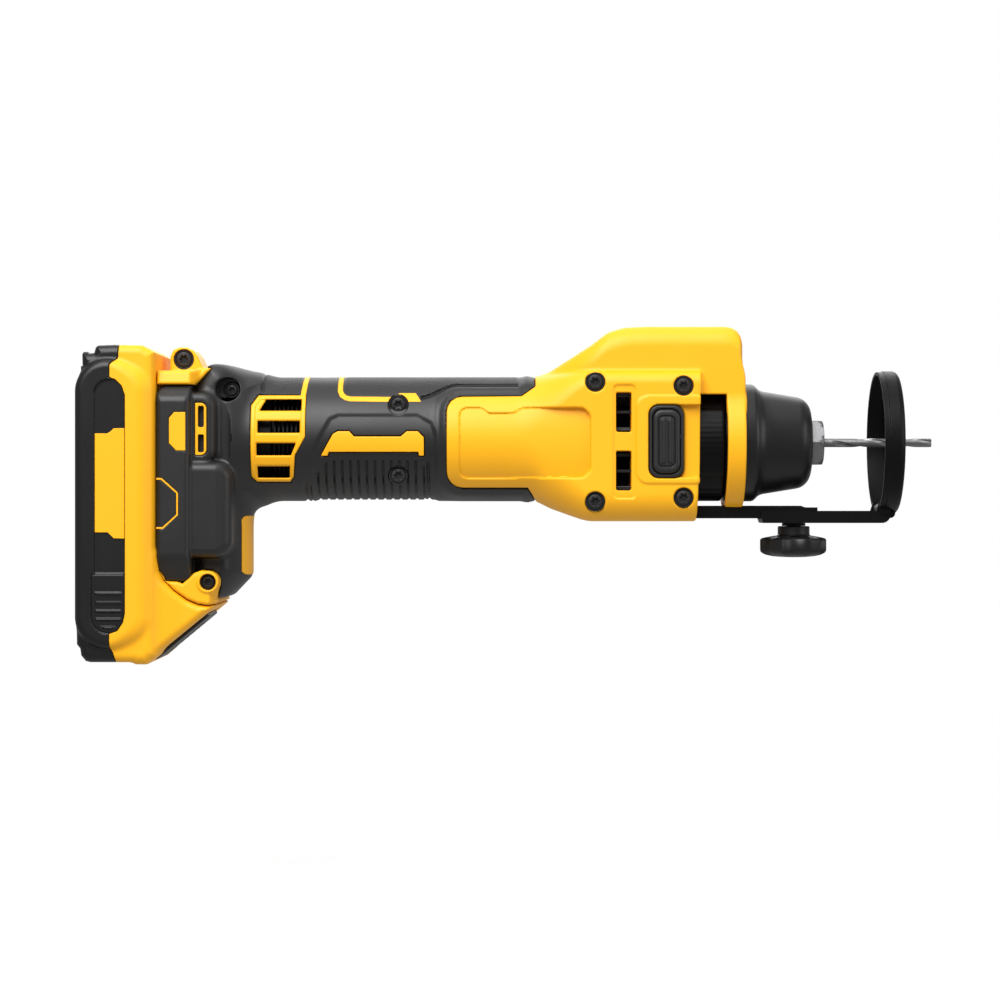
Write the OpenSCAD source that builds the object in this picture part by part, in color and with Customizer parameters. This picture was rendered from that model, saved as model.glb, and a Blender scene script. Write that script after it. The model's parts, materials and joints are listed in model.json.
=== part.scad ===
// Cordless drywall cut-out tool with a slide-on battery pack, built as separate pieces.
// X runs from the battery's base to the cutting bit, Z is up, Y is across the tool.
// The spindle axis is the X axis and the battery's flat base lies at x = 0. Sizes are in mm.

/* [Battery pack] */
// Length of the pack along Z
pack_l = 113; // [109:0.5:118]
// Width of the pack along Y
pack_w = 75; // [73:0.5:84]
// Base of the pack to its deck
pack_h = 28; // [27.5:0.25:32]
// Lower end of the pack below the spindle axis
pack_low = 78.8; // [77:0.2:80]
// Height of the lower tray
tray_h = 14; // [11:0.5:17]
// Wall of the pack's mouldings
pack_wall = 2; // [1.6:0.1:2.2]
// Side pads raised on the tray
pad_t = 1.5; // [0.8:0.1:2]
// Diameter of one cell
cell_d = 18.3; // [17:0.1:18.6]
// Width of the neck of the sliding rail
rail_neck_w = 42; // [36:1:44]
// Width of the head of the sliding rail
rail_head_w = 50; // [48:1:52]
// Width of the tower that holds the release button
tower_w = 60; // [54:1:62]

/* [Foot and handle] */
// Width of the foot over its side panels
foot_w = 66; // [64:0.5:70]
// Depth of the foot's base from the pack to the fold
foot_t = 12; // [11:0.5:14]
// Fold of the foot to its front face
neck_l = 20.8; // [19:0.2:24]
// Width of the neck
neck_w = 45; // [42:0.5:48]
// Front face of the foot to the front end of the grip
grip_l = 102.6; // [96:0.2:112]
// Diameter of the grip
grip_d = 45.4; // [44.6:0.2:47]
// Axis of the grip above the spindle axis
grip_rise = 1.3; // [0.8:0.1:1.6]
// Thickness of the soft skin of the grip
skin_t = 1.6; // [1.2:0.1:1.8]
// Wall of the housing
wall = 2; // [1.8:0.1:2.2]
// Depth of the grip's grooves
groove_t = 0.8; // [0.4:0.1:1]

/* [Nose housing] */
// Grip to the full body section
flare_l = 19.3; // [17:0.1:20]
// Length of the full body section
body_l = 40; // [39:0.5:44]
// Width of the body
body_w = 50; // [49:0.5:54]
// Lowest face of the body below the spindle axis
body_low = 28.7; // [28.5:0.1:31]
// Top of the side plates above the spindle axis
plate_top = 25.3; // [25:0.1:27]
// Slope of the belly where it leaves the grip, in degrees
belly_angle = 22; // [18:0.5:26]
// Slope of the crest in front of the grip, in degrees
crest_angle = 31.5; // [29:0.5:36]
// Width of the hump
hump_w = 40; // [36:0.5:42]
// Top of the hump above the spindle axis
hump_top = 41.9; // [40:0.1:45]
// Open window between the body and the front ring
window_l = 9.6; // [9:0.1:11]
// Outer diameter of the front ring
ring_d = 49.4; // [48.4:0.2:51]
// Length of the front ring
ring_l = 6.8; // [6:0.1:8]
// Height of the fan's vents
vent_h = 14; // [11:0.5:14.5]

/* [Collar and nose cone] */
// Diameter of the collar and of the nose cone's flange
collar_d = 43; // [42:0.1:43.2]
// Nose cone from the front ring to its face
cone_l = 25.2; // [24:0.1:30]
// Diameter of the nose cone behind its taper
cone_d = 37.2; // [36:0.2:39]

/* [Motor and spindle] */
// Outer diameter of the stator
stator_d = 35; // [32:0.5:35.2]
// Length of the stator
stator_l = 20; // [16:0.5:21]
// Diameter of the rotor over its magnets
rotor_d = 20; // [18:0.5:20.5]
// Diameter of the fan
fan_d = 34; // [30:0.5:34.6]
// Diameter of the spindle at its nose
spindle_d = 12; // [11.6:0.1:12.4]

/* [Collet and bit] */
// Collet nut across its flats
nut_af = 16; // [15.4:0.1:16.4]
// Nut in front of the nose cone
nut_out = 4.6; // [4:0.1:6]
// Diameter of the cutting bit
bit_d = 3.175; // [2.8:0.025:3.3]
// Bit in front of the nut
bit_out = 40; // [36:0.5:44]

/* [Depth guide] */
// Bit in front of the guide ring, the thickness of the board
cut_depth = 12.8; // [10:0.1:14]
// Outer diameter of the guide ring
guide_d = 52.6; // [51.6:0.2:54]
// Width of the guide ring along X
guide_w = 7.5; // [7:0.1:9]
// Width of the fixed bracket
bracket_w = 14; // [12:0.5:14.4]
// Thickness of the fixed bracket
bracket_t = 4.6; // [4:0.1:4.8]
// Diameter of the clamp knob
knob_d = 24.6; // [22:0.2:27]
// Thickness of the clamp knob's head
knob_t = 7.6; // [7:0.1:9]
// Diameter of the clamp stud
stud_d = 5; // [4:0.1:5.4]

/* [Switch] */
// Length of the button along the tool
button_l = 9.9; // [9:0.1:10.4]
// Height of the button
button_h = 23.2; // [21:0.2:23.4]

/* [Fits] */
// Gap at sliding and turning faces
slip = 0.3; // [0.25:0.01:0.35]
// Radial gap of running shafts
run = 0.04; // [0.02:0.01:0.06]

/* [Hidden] */
$fn = 64;
far = 400;
over = 0.5;

foot_x0 = pack_h + 0.8;
foot_x1 = foot_x0 + foot_t;
neck_x1 = foot_x1 + neck_l;
grip_x1 = neck_x1 + grip_l;
body_x0 = grip_x1 + flare_l;
body_x1 = body_x0 + body_l;
ring_x0 = body_x1 + window_l;
ring_x1 = ring_x0 + ring_l;
cone_x1 = ring_x1 + cone_l;
nut_x1 = cone_x1 + nut_out;
bit_x1 = nut_x1 + bit_out;
guide_x1 = bit_x1 - cut_depth;
guide_x0 = guide_x1 - guide_w;

pack_top = pack_l - pack_low;
rail_x0 = pack_h;
rail_x1 = pack_h + 3.6;
rail_x2 = pack_h + 9;
rail_z1 = 20;
rail_z0 = -58;
foot_top = 25.3;
panel_top = 20.1;
foot_low = -50.2;
spine_x0 = foot_x1 - 0.2;
spine_x1 = foot_x1 + 3;

tube_r = grip_d / 2 - skin_t;
tube_bore = tube_r - wall;
motor_bore = 17.9;
stator_x0 = grip_x1 + 1.6;
stator_x1 = stator_x0 + stator_l;
vent_x = body_x0 + 0.305 * body_l;
fan_x0 = vent_x - 4;
fan_x1 = fan_x0 + 7;
rear_x0 = grip_x1 - 13;
grip_screw_x = grip_x1 - 49.6;
rib_x0 = neck_x1 + 20.4;
rib_pitch = (grip_x1 - 40.9 - rib_x0) / 14;
case_x0 = neck_x1 + 21;
case_x1 = grip_screw_x - 5;
lead_d = 2;
switch_x = body_x0 + 0.6875 * body_l;
switch_l = 10;
rear_x1 = rear_x0 + 7;
carrier_x0 = switch_x - switch_l / 2 - 3;
front_x0 = carrier_x0 + 4;
front_x1 = front_x0 + 8;
carrier_r = 15.8;
carrier_x1 = ring_x0 + 3;
collar_x0 = body_x1 - 2.2;
collar_x1 = ring_x0 - 0.3;
cone_x0 = ring_x0;
nose_x1 = cone_x1 - 4;
nut_x0 = cone_x1 - 12;
hex_x0 = cone_x1 + slip;

screw_d = 3;
head_d = 5.6;
plate_y = body_w / 2;
plate_screws = [[body_x0 + 2, 21.4], [body_x1 - 6.3, 20], [body_x0 + 2, -21.6], [body_x1 - 6.3, -20.2]];
grip_screws = [[grip_screw_x, 13.4], [grip_screw_x, -12.2]];
shoulder_screw = [foot_x1 + 13.5, 18.7];
ear_screw = [foot_x0 + 7.6, 30.1];
toe_screw = [foot_x1 + 6.2, -50.3];
toe_y = tower_w / 2;

bracket_z = -23.1;
bracket_low = bracket_z - bracket_t;
arm_t = 1.5;
arm_low = bracket_low - 0.2 - arm_t;
arm_top = bracket_z - 1.9;
arm_in = bracket_w / 2 + slip;
arm_out = arm_in + arm_t;
arm_x0 = cone_x1 - 18.6;
ear_x0 = guide_x0;
ear_x1 = guide_x0 + 4.2;
knob_x = cone_x1 - 5.9;
guide_back = 14;
guide_fore = 6;
bracket_x1 = knob_x + 8;
washer_t = 1;
rivet_t = 0.9;
stud_in = 4;
knob_top = arm_low - washer_t - 0.2;
head_top = knob_top - 3.8;

gauge_x = pack_h - 11;
press = 2;
cell_l = pack_w - 10;
cell_pitch = cell_d + 1.1;
cell_x = pack_wall + 0.3 + cell_d / 2;
cell_z = pack_top - pack_l / 2;

// A profile drawn in Y and Z, carried along X
module along_x(x, l) translate([x, 0, 0]) rotate([90, 0, 90]) linear_extrude(l) children();

// A profile drawn in X and Z, carried along Y
module along_y(y, l) translate([0, y + l, 0]) rotate([90, 0, 0]) linear_extrude(l) children();

// A profile drawn in X and Y, carried along Z
module along_z(z, l) translate([0, 0, z]) linear_extrude(l) children();

// A round bar on the spindle axis
module rod(x, l, d) translate([x, 0, 0]) rotate([0, 90, 0]) cylinder(h = l, d = d);

// A round pin across the tool
module pin_y(x, z, y, l, d) translate([x, y, z]) rotate([-90, 0, 0]) cylinder(h = l, d = d);

// A ring on the spindle axis
module ring(x, l, d, bore) difference() {
    rod(x, l, d);
    rod(x - over, l + 2 * over, bore);
}

// A profile of [x, radius] points turned about the spindle axis
module turned(points) rotate([0, 90, 0]) rotate_extrude() polygon([for (p = points) [p[1], p[0]]]);

// A rectangle with round corners between two corner points
module round_rect(a, b, r) {
    translate([a[0] + r, a[1]]) square([b[0] - a[0] - 2 * r, b[1] - a[1]]);
    translate([a[0], a[1] + r]) square([b[0] - a[0], b[1] - a[1] - 2 * r]);
    for (u = [a[0] + r, b[0] - r], v = [a[1] + r, b[1] - r]) translate([u, v]) circle(r = r);
}

// One half of the tool: side -1 is toward the viewer
module half(side) intersection() {
    children();
    translate([-far / 2, side < 0 ? -far : 0, -far / 2]) cube([2 * far, far, far]);
}

// Points of a round corner about c, from one angle to another
function arc(c, r, from, to, n = 6) = [for (i = [0:n]) let (t = from + (to - from) * i / n)
    c + r * [cos(t), sin(t)]];

// Section of the nose body: flat sides, a round belly and tighter top corners
module body_section() {
    round_rect([-plate_y, -body_low], [plate_y, 8], 14);
    round_rect([-plate_y, -8], [plate_y, plate_top], 5);
}

// Section of the hump over the nose
module hump_section() round_rect([-hump_w / 2, 0], [hump_w / 2, hump_top], 6);

// Cone that opens forward from the grip's round end
module flare(angle, l) translate([grip_x1, 0, grip_rise]) rotate([0, 90, 0])
    cylinder(h = l, d1 = grip_d, r2 = grip_d / 2 + l * tan(angle));

// Outer form of the nose before it is hollowed
module nose_form() {
    intersection() {
        along_x(grip_x1, flare_l + body_l) body_section();
        flare(belly_angle, flare_l + body_l);
    }
    intersection() {
        along_x(grip_x1, ring_x1 - grip_x1) hump_section();
        flare(crest_angle, ring_x1 - grip_x1);
        along_y(-hump_w / 2, hump_w) polygon(concat(
            [[grip_x1, 0], [grip_x1, hump_top]],
            arc([ring_x1 - 7, hump_top - 7], 7, 90, 0),
            [[ring_x1, 17], [body_x1, 17], [body_x1, 0]]));
    }
    rod(ring_x0, ring_l, ring_d);
}

// Side view of the raised vent grille at the back of the grip
module grille_outline() polygon([[neck_x1, -14.4], [neck_x1 + 14.8, -14.4], [neck_x1 + 15.4, -12.6],
    [neck_x1 + 16, -4.9], [neck_x1 + 19.6, 1.7], [neck_x1 + 19.6, 16.8], [neck_x1 + 2.5, 16.8],
    [neck_x1, 13.1]]);

// Side view of the housing's tongue that lies in the grip
module tongue_outline() round_rect([grip_x1 - 32.1, -16.3], [grip_x1 + 9, 16.3], 5);

// Grille and tongue, flush with the skin of the grip
module flush_pads() intersection() {
    translate([neck_x1, 0, grip_rise]) rotate([0, 90, 0]) cylinder(h = grip_l, d = grip_d);
    along_y(-far / 2, far) {
        grille_outline();
        tongue_outline();
    }
}

// Band, ear, toe and spine of the housing in the foot
module foot_frame() {
    intersection() {
        along_x(foot_x0, foot_t) round_rect([-foot_w / 2, foot_low], [foot_w / 2, foot_top], 6);
        translate([foot_x0 - 1, -far / 2, panel_top]) cube([foot_t + 2, far, far]);
    }
    along_y(-12, 24) polygon([[foot_x0 + 2.4, foot_top - 1], [foot_x0 + 3.2, 31], [foot_x0 + 11.8, 31.5],
        [foot_x0 + 15.2, 26.4], [foot_x0 + 15.2, 22], [foot_x0 + 2.4, 22]]);
    pin_y(ear_screw[0], ear_screw[1], -12, 24, 9);
    along_y(-toe_y, 2 * toe_y) polygon(toe_points());
    translate([spine_x0, -17, -54]) cube([spine_x1 - spine_x0, 34, foot_top + 53]);
    pin_y(toe_screw[0], toe_screw[1], -toe_y, 2 * toe_y, 8.4);
}

// Lower edge of the toe, which meets the pack's tower
function toe_edge(gap) = [[foot_x0 + 0.2, -46.5 - gap], [foot_x0 + 2.5, -50.8 - gap],
    [foot_x0 + 7.3, -54.6 - gap],
    [foot_x0 + 11, -57.2 - gap], [foot_x0 + 14.6, -58.2 - gap], [foot_x0 + 20.4, -58.4 - gap]];
function toe_points() = concat(toe_edge(0), [[foot_x0 + 20.4, -56.6],
    [foot_x1 + 3.2, -56.6], [foot_x1 + 0.5, foot_low], [foot_x0 + 3.5, -49.5], [foot_x0 + 0.2, -42]]);

// Room of the pack's tower under the toe
function below_toe() = concat(toe_edge(0), [[foot_x0 + 20.4, -far], [foot_x0 - 1, -far],
    [foot_x0 - 1, -40.5], [foot_x0 + 0.2, -42]]);

// Slot for the pack's rail, open at the foot's lower end
module rail_slot() {
    translate([foot_x0 - 1, -rail_neck_w / 2 - slip, -far / 2])
        cube([rail_x1 - foot_x0 + 1 + slip + over, rail_neck_w + 2 * slip, far / 2 + rail_z1 + slip]);
    translate([rail_x1 - slip, -rail_head_w / 2 - slip, -far / 2])
        cube([rail_x2 - rail_x1 + 2 * slip, rail_head_w + 2 * slip, far / 2 + rail_z1 + slip]);
}

// Hollow of the grip and of the motor chamber
module hollow() {
    translate([spine_x1, 0, grip_rise]) rotate([0, 90, 0])
        cylinder(h = grip_x1 - 6 - spine_x1, r = tube_bore);
    rod(grip_x1 - 7, body_x1 - grip_x1 + 9, 2 * motor_bore);
    rod(body_x1 - 3, window_l + ring_l + 3 + over, collar_d + 2 * slip);
    translate([spine_x0 - 3.5, -9, -6]) cube([8, 18, 14]);
    along_x(body_x0 + 14, body_l) round_rect([-hump_w / 2 + wall, 21.5],
        [hump_w / 2 - wall, hump_top - wall], 4);
}

// Slots of the grille
module grille_slots() {
    for (s = [[4.7, 17.8, 13.2], [2.7, 17.4, 5.3], [2.4, 15.2, -2.8], [2.5, 13.6, -10.9]])
        translate([neck_x1 + s[0], -far / 2, s[2] - 1.85]) cube([s[1] - s[0], far, 3.7]);
}

// Vents beside the fan
module fan_vents() for (z = [10.5, -10.5])
    along_y(-far / 2, far) round_rect([vent_x - 2.75, z - vent_h / 2], [vent_x + 2.75, z + vent_h / 2],
        1.2);

// Holes and head recesses of one clamp screw
module screw_hole(p, seat, tip) {
    pin_y(p[0], p[1], -far / 4, far / 4 + tip, screw_d + 0.3);
    pin_y(p[0], p[1], -far / 4, far / 4 - seat, head_d + 1.4);
}
module screw_holes() {
    for (p = plate_screws) screw_hole(p, plate_y - 3, 14);
    for (p = grip_screws) screw_hole(p, 16, 12);
    screw_hole(shoulder_screw, neck_w / 2 - 5, 12);
    screw_hole(ear_screw, 9.5, 9);
    screw_hole(toe_screw, toe_y - 3.5, 12);
}

// Whole housing before it is split into halves
module housing() difference() {
    union() {
        difference() {
            union() {
                nose_form();
                translate([spine_x0, 0, grip_rise]) rotate([0, 90, 0])
                    cylinder(h = grip_x1 - spine_x0, r = tube_r);
                flush_pads();
                foot_frame();
            }
            hollow();
        }
        for (p = grip_screws) pin_y(p[0], p[1], -12, 24, 7);
        difference() {
            translate([rear_x0 - 2, 0, grip_rise]) rotate([0, 90, 0]) cylinder(h = 9, r = tube_bore + 0.5);
            rod(rear_x0, 12, 22);
            rod(rear_x0 - 4, 12, 14);
            lead_paths(lead_d + 2 * slip);
        }
    }
    rail_slot();
    grille_slots();
    fan_vents();
    screw_holes();
    along_x(body_x1 - 14, far) translate([-bracket_w / 2, bracket_low]) square([bracket_w, bracket_t]);
    translate([body_x1 + 1, -bracket_w / 2 - slip, bracket_low - slip])
        cube([far, bracket_w + 2 * slip, bracket_t + 2 * slip]);
    along_y(-far / 2, far / 2 - 10) round_rect([switch_x - 6.25, -13.1], [switch_x + 6.25, 13.1], 3.6);
    translate([ring_x1 - 8, -9, 26]) cube([12, 18, 9]);
}

module right_housing() color("#f0b512") half(-1) housing();
module left_housing() color("#f0b512") half(1) housing();

// Outline of the neck between the foot and the grip
module neck_outline() polygon(concat(
    [[foot_x1 - 1, 19.5], [foot_x1 + 5.4, 28], [foot_x1 + 12.5, 28], [foot_x1 + 18.6, 25.5],
        [neck_x1 + 2, 24]],
    arc([neck_x1 + 3.6, -26.4], 5, 90, 180),
    [[neck_x1 - 1.4, -48.8], [foot_x1 + 11.6, -56.4], [foot_x1 + 3.5, -56.4], [foot_x1 - 1, foot_low]]));

// Black skin with the neck, the foot's panels and the side bumpers
module grip() difference() {
    union() {
        translate([foot_x1 + 2, 0, grip_rise]) rotate([0, 90, 0])
            cylinder(h = grip_x1 - foot_x1 - 2, d = grip_d);
        intersection() {
            along_y(-neck_w / 2, neck_w) neck_outline();
            along_x(foot_x1 - 2, neck_l + 20) round_rect([-neck_w / 2, -57], [neck_w / 2, 28.5], 8);
        }
        along_x(foot_x0, foot_t) round_rect([-foot_w / 2, foot_low], [foot_w / 2, foot_top], 6);
        along_x(foot_x1 - 1, 14.5) round_rect([-foot_w / 2 + 2, -38.5], [foot_w / 2 - 2, -7.4], 4);
    }
    translate([foot_x0 - 1, -far / 2, panel_top]) cube([foot_t + 1.2, far, far]);
    foot_frame();
    along_y(-far / 2, far) polygon(below_toe());
    flush_pads();
    translate([spine_x0, 0, grip_rise]) rotate([0, 90, 0]) cylinder(h = far, r = tube_r);
    rail_slot();
    terminal_space();
    screw_holes();
    translate([spine_x0 - 3.5, -9, -6]) cube([8, 18, 14]);
    difference() {
        for (i = [0:14]) translate([rib_x0 + rib_pitch * i, -far / 2, -far / 2])
            cube([0.373 * rib_pitch, far, far / 2 - 5.1]);
        translate([neck_x1, 0, grip_rise]) rotate([0, 90, 0])
            cylinder(h = grip_l, d = grip_d - 2 * groove_t);
    }
}

module right_grip() color("#1b1b1c") half(-1) grip();
module left_grip() color("#1b1b1c") half(1) grip();

// One pan-head screw, its head toward the viewer
module screw(p, seat, tip) {
    pin_y(p[0], p[1], -seat - 2.2, 2.2, head_d);
    pin_y(p[0], p[1], -seat - over, seat + over + tip, screw_d);
}
module housing_screws() color("#2b2b2d") {
    for (p = plate_screws) screw(p, plate_y - 3, 13);
    for (p = grip_screws) screw(p, 16, 11);
    screw(shoulder_screw, neck_w / 2 - 5, 11);
    screw(ear_screw, 9.5, 8);
    screw(toe_screw, toe_y - 3.5, 11);
}

// Collar with raised grip pads, turned by hand in the window to change the bit
module bit_collar() color("#222324") {
    ring(collar_x0, collar_x1 - collar_x0, collar_d - 1.6, 2 * carrier_r + 2 * slip);
    for (k = [0:3]) rotate([90 * k, 0, 0]) intersection() {
        ring(body_x1 + 0.4, collar_x1 - body_x1 - 0.4, collar_d, collar_d - 3);
        along_x(body_x1, window_l) polygon([[0, 0], [-30, 20], [-30, -20]]);
    }
}

module nose_cone() color("#1d1e1f") turned(concat(
    [[cone_x0, carrier_r + run], [cone_x0, collar_d / 2], [ring_x1 + 4.4, collar_d / 2],
        [ring_x1 + 7.2, cone_d / 2],
    [ring_x1 + 15.4, cone_d / 2 - 1.2], [cone_x1 - 4.7, cone_d / 2 - 2.5]],
    arc([cone_x1 - 4.6, 11.5], 4.6, 90, 0, 5),
    [[cone_x1, nut_af * 0.577 + 0.5], [carrier_x1 + 0.1, nut_af * 0.577 + 0.5],
        [carrier_x1 + 0.1, carrier_r + run]]));

// Aluminium carrier of the front bearing, which also holds the nose cone
module bearing_carrier() color("#b9bcc0") turned([[carrier_x0, 9], [carrier_x0, motor_bore - 0.1],
    [carrier_x0 + 3, motor_bore - 0.1],
    [carrier_x0 + 3, carrier_r], [carrier_x1, carrier_r], [carrier_x1, 11], [front_x1, 11],
        [front_x1, 14], [front_x0, 14],
    [front_x0, 9]]);

module front_bearing_race() color("#c9ccd0") ring(front_x0, 8, 28, 22.4);
module rear_bearing_race() color("#c9ccd0") ring(rear_x0, 7, 22, 17);
module front_bearing_inner() color("#d2d5d8") ring(front_x0 + 0.2, 7.6, 22, spindle_d);
module rear_bearing_inner() color("#d2d5d8") ring(rear_x0 + 0.2, 6.6, 16.6, 8);

// Laminated stator with six teeth
module stator_core() color("#5d6166") difference() {
    rod(stator_x0, stator_l, stator_d);
    rod(stator_x0 - over, stator_l + 2 * over, rotor_d + 1);
    for (k = [0:5]) rotate([60 * k, 0, 0]) along_x(stator_x0 - over, stator_l + 2 * over)
        polygon([[2, rotor_d / 2], [4.5, stator_d / 2 - 3], [-4.5, stator_d / 2 - 3], [-2, rotor_d / 2]]);
}

// Coils that lie in the slots and turn over the stator's ends
module stator_windings() color("#b4652a") for (k = [0:5]) rotate([60 * k, 0, 0]) {
    along_x(stator_x0 - 2.5, stator_l + 5)
        polygon([[1.6, rotor_d / 2 + 1.4], [3.9, stator_d / 2 - 3.4], [-3.9, stator_d / 2 - 3.4],
            [-1.6, rotor_d / 2 + 1.4]]);
}

module motor_shaft() color("#a9adb2") difference() {
    turned([[rear_x0 - 1.5, 0], [rear_x0 - 1.5, 4], [rear_x1 + 0.2, 4], [rear_x1 + 0.2, 5.2],
        [stator_x0 - 3, 5.2], [stator_x0 - 3, 6],
        [front_x0 - 3, 6], [front_x0 - 3, spindle_d / 2 + 1.4], [front_x0 + 0.1, spindle_d / 2 + 1.4],
        [front_x0 + 0.1, spindle_d / 2], [nose_x1, spindle_d / 2], [nose_x1, 0]]);
    rod(nose_x1 - 18, 20, 9);
}

module rotor_magnets() color("#3c3f44") ring(stator_x0 - 0.5, stator_l + 1, rotor_d, 12);

// Radial fan on the shaft, level with the vents
module cooling_fan() color("#26282a") {
    ring(fan_x0, 1.6, fan_d, 12);
    ring(fan_x0, 7, 15, 12);
    for (k = [0:10]) rotate([360 / 11 * k, 0, 0]) translate([fan_x0 + 1, 7, -0.6])
        cube([5.6, fan_d / 2 - 7.2, 1.2]);
}

// Split collet that grips the bit
module collet() color("#c3c6ca") difference() {
    turned([[nose_x1 - 15, bit_d / 2], [nose_x1 - 15, 4.4], [nose_x1 + 0.5, 4.4], [nose_x1 + 3, 3.2],
        [nose_x1 + 3, bit_d / 2]]);
    for (k = [0:1]) rotate([90 * k, 0, 0]) translate([nose_x1 - 8, -0.4, -6]) cube([14, 0.8, 12]);
}

// Two-flute spiral bit with a plain shank
module cutting_bit() color("#9fa3a7") {
    rod(nose_x1 - 14, nut_x1 + 2 - nose_x1 + 14, bit_d);
    translate([nut_x1 + 2, 0, 0]) rotate([0, 90, 0])
        linear_extrude(bit_out - 2, twist = -400, slices = 32, $fn = 12)
        polygon([for (t = [0:30:330]) bit_d * (0.39 + 0.11 * cos(2 * t)) * [cos(t), sin(t)]]);
}

// Hexagon of the collet nut, just clear of the nose cone
module collet_nut() color("#b9bcc0") difference() {
    intersection() {
        rotate([30, 0, 0]) rod(hex_x0, nut_x1 - hex_x0, nut_af * 1.1547, $fn = 6);
        turned([[hex_x0, 0], [hex_x0, nut_af * 0.578], [nut_x1 - 1.6, nut_af * 0.578],
            [nut_x1, nut_af / 2 - 0.3], [nut_x1, 0]]);
    }
    nut_bore();
}

// Threaded sleeve of the collet nut, inside the nose cone
module nut_sleeve() color("#b9bcc0") difference() {
    rod(nut_x0, hex_x0 - nut_x0, nut_af - 0.8);
    nut_bore();
}

module nut_bore() {
    rod(nut_x0 - over, nose_x1 - nut_x0 + over + 1, spindle_d + 2 * run);
    turned([[nose_x1, 0], [nose_x1, 4.8], [nose_x1 + 3.4, 3.4], [nut_x1 + 1, 3.4], [nut_x1 + 1, 0]]);
}

// Power button with three raised ribs
module switch_button() color("#1f2021") {
    along_y(-plate_y - 0.8, 5) round_rect([switch_x - button_l / 2, -button_h / 2],
        [switch_x + button_l / 2, button_h / 2], 3);
    for (i = [-1:1]) along_y(-plate_y - 1.5, 1) round_rect([switch_x + 2.1 * i - 0.6, -button_h / 2 + 3],
        [switch_x + 2.1 * i + 0.6, button_h / 2 - 3], 0.5);
}

// Rubber frame round the button
module switch_boot() color("#151516") along_y(-plate_y - 0.2, 3.2) difference() {
    round_rect([switch_x - 6.25, -13.1], [switch_x + 6.25, 13.1], 3.6);
    round_rect([switch_x - button_l / 2 - slip, -button_h / 2 - slip],
        [switch_x + button_l / 2 + slip, button_h / 2 + slip], 3.2);
}

module switch_body() color("#3b3d40") along_y(-plate_y + 6.4, 2.4) round_rect([switch_x - switch_l / 2, -8],
    [switch_x + switch_l / 2, 8], 1);

// Work light in the front of the hump
module light_lens() color("#e8eef2") along_x(ring_x1 - 2.5, 2) translate([-9, 26]) square([18, 9]);
module light_board() color("#2e6b45") along_x(ring_x1 - 4.1, 1.6) translate([-9, 26]) square([18, 9]);

module controller_case() color("#303236") translate([case_x0, -15.2, -9])
    cube([case_x1 - case_x0, 30.4, 20]);

// Finned heat sink seen through the grille
module heat_sink() color("#8d9196") {
    translate([case_x0 - 2, -11, -8]) cube([2, 22, 18]);
    translate([neck_x1 + 1.5, -3, -8]) cube([case_x0 - 1.5 - neck_x1, 6, 18]);
    for (i = [0:7]) translate([neck_x1 + 2 + 2.1 * i, -12, -9]) cube([0.9, 24, 20]);
}

// Three leads from the controller to the motor
module lead_paths(d) for (p = [[-12.8, 2], [-12.8, -2], [12.8, 0]])
    translate([case_x1, p[0], p[1]]) rotate([0, 90, 0]) cylinder(h = stator_x0 - case_x1, d = d);
module motor_wires() color("#7b2420") lead_paths(lead_d);

// Contact carrier in the roof of the rail slot
module terminal_space() translate([rail_x2 + slip, -20, rail_z1 - 22])
    cube([foot_x1 - 0.6 - rail_x2 - slip, 40, 22]);
module terminal_block() color("#2a2b2d") terminal_space();
module terminal_blades() color("#c58f3d") for (y = [-15, -7, 7, 15])
    translate([rail_x1 + 0.6, y - 0.4, rail_z1 - 14]) cube([rail_x2 + slip - rail_x1 - 0.6, 0.8, 13]);

// Fixed bar of the depth guide, held in the housing's nose
module guide_bracket() color("#232426") difference() {
    along_y(-bracket_w / 2, bracket_w) polygon([[body_x1 - 14, bracket_low], [body_x1 - 14, bracket_z],
        [knob_x + 1.9, bracket_z],
        [knob_x + 3.6, bracket_z - 0.6], [bracket_x1, bracket_z - 0.6], [bracket_x1, bracket_low]]);
    translate([knob_x, 0, bracket_low - 1]) cylinder(h = bracket_t + 2, d = stud_d + 2 * run);
}

// Sliding channel of the depth guide
module guide_arm() color("#1c1d1e") difference() {
    union() {
        along_y(-arm_out, 2 * arm_out) polygon(concat([[arm_x0, arm_top], [arm_x0, arm_low + 2],
            [arm_x0 + 0.7, arm_low]],
            arc([ear_x1 - 3, arm_low + 3], 3, -90, 0), [[ear_x1, -22], [ear_x0, -22],
                [ear_x0 - 1, arm_top]]));
    }
    translate([arm_x0 - 1, -arm_in, arm_low + arm_t]) cube([far, 2 * arm_in, 20]);
    along_z(arm_low - 1, 5) round_rect([knob_x - guide_fore - stud_d / 2 - slip, -stud_d / 2 - slip],
        [knob_x + guide_back + stud_d / 2 + slip, stud_d / 2 + slip], stud_d / 2 + slip - 0.01);
    pin_y(ear_x0 + 2.1, -24.4, -far / 2, far, 2.4);
}

// Ring that rests on the board, with the lug that the arm carries
module guide_ring() color("#1a1b1c") difference() {
    union() {
        difference() {
            turned(concat([[guide_x0, guide_d / 2 - 1.5], [guide_x0, guide_d / 2 - 0.3],
                [guide_x0 + 2, guide_d / 2 - 0.3], [guide_x0 + 2, guide_d / 2]],
                arc([guide_x1 - 1.8, guide_d / 2 - 1.8], 1.8, 90, 0, 4),
                [[guide_x1, guide_d / 2 - 4.5], [guide_x1 - 1.4, guide_d / 2 - 4.5],
                    [guide_x1 - 1.4, guide_d / 2 - 1.5]]));
            translate([guide_x0 - 1, -arm_out - rivet_t - slip, -far])
                cube([5.6, 2 * (arm_out + rivet_t + slip), far - 15]);
        }
        translate([ear_x0, -arm_in + 0.05, arm_low + arm_t])
            cube([guide_w - 0.6, 2 * arm_in - 0.1, -22.4 - arm_low - arm_t]);
    }
    pin_y(ear_x0 + 2.1, -24.4, -far / 2, far, 2.4);
}

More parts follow.
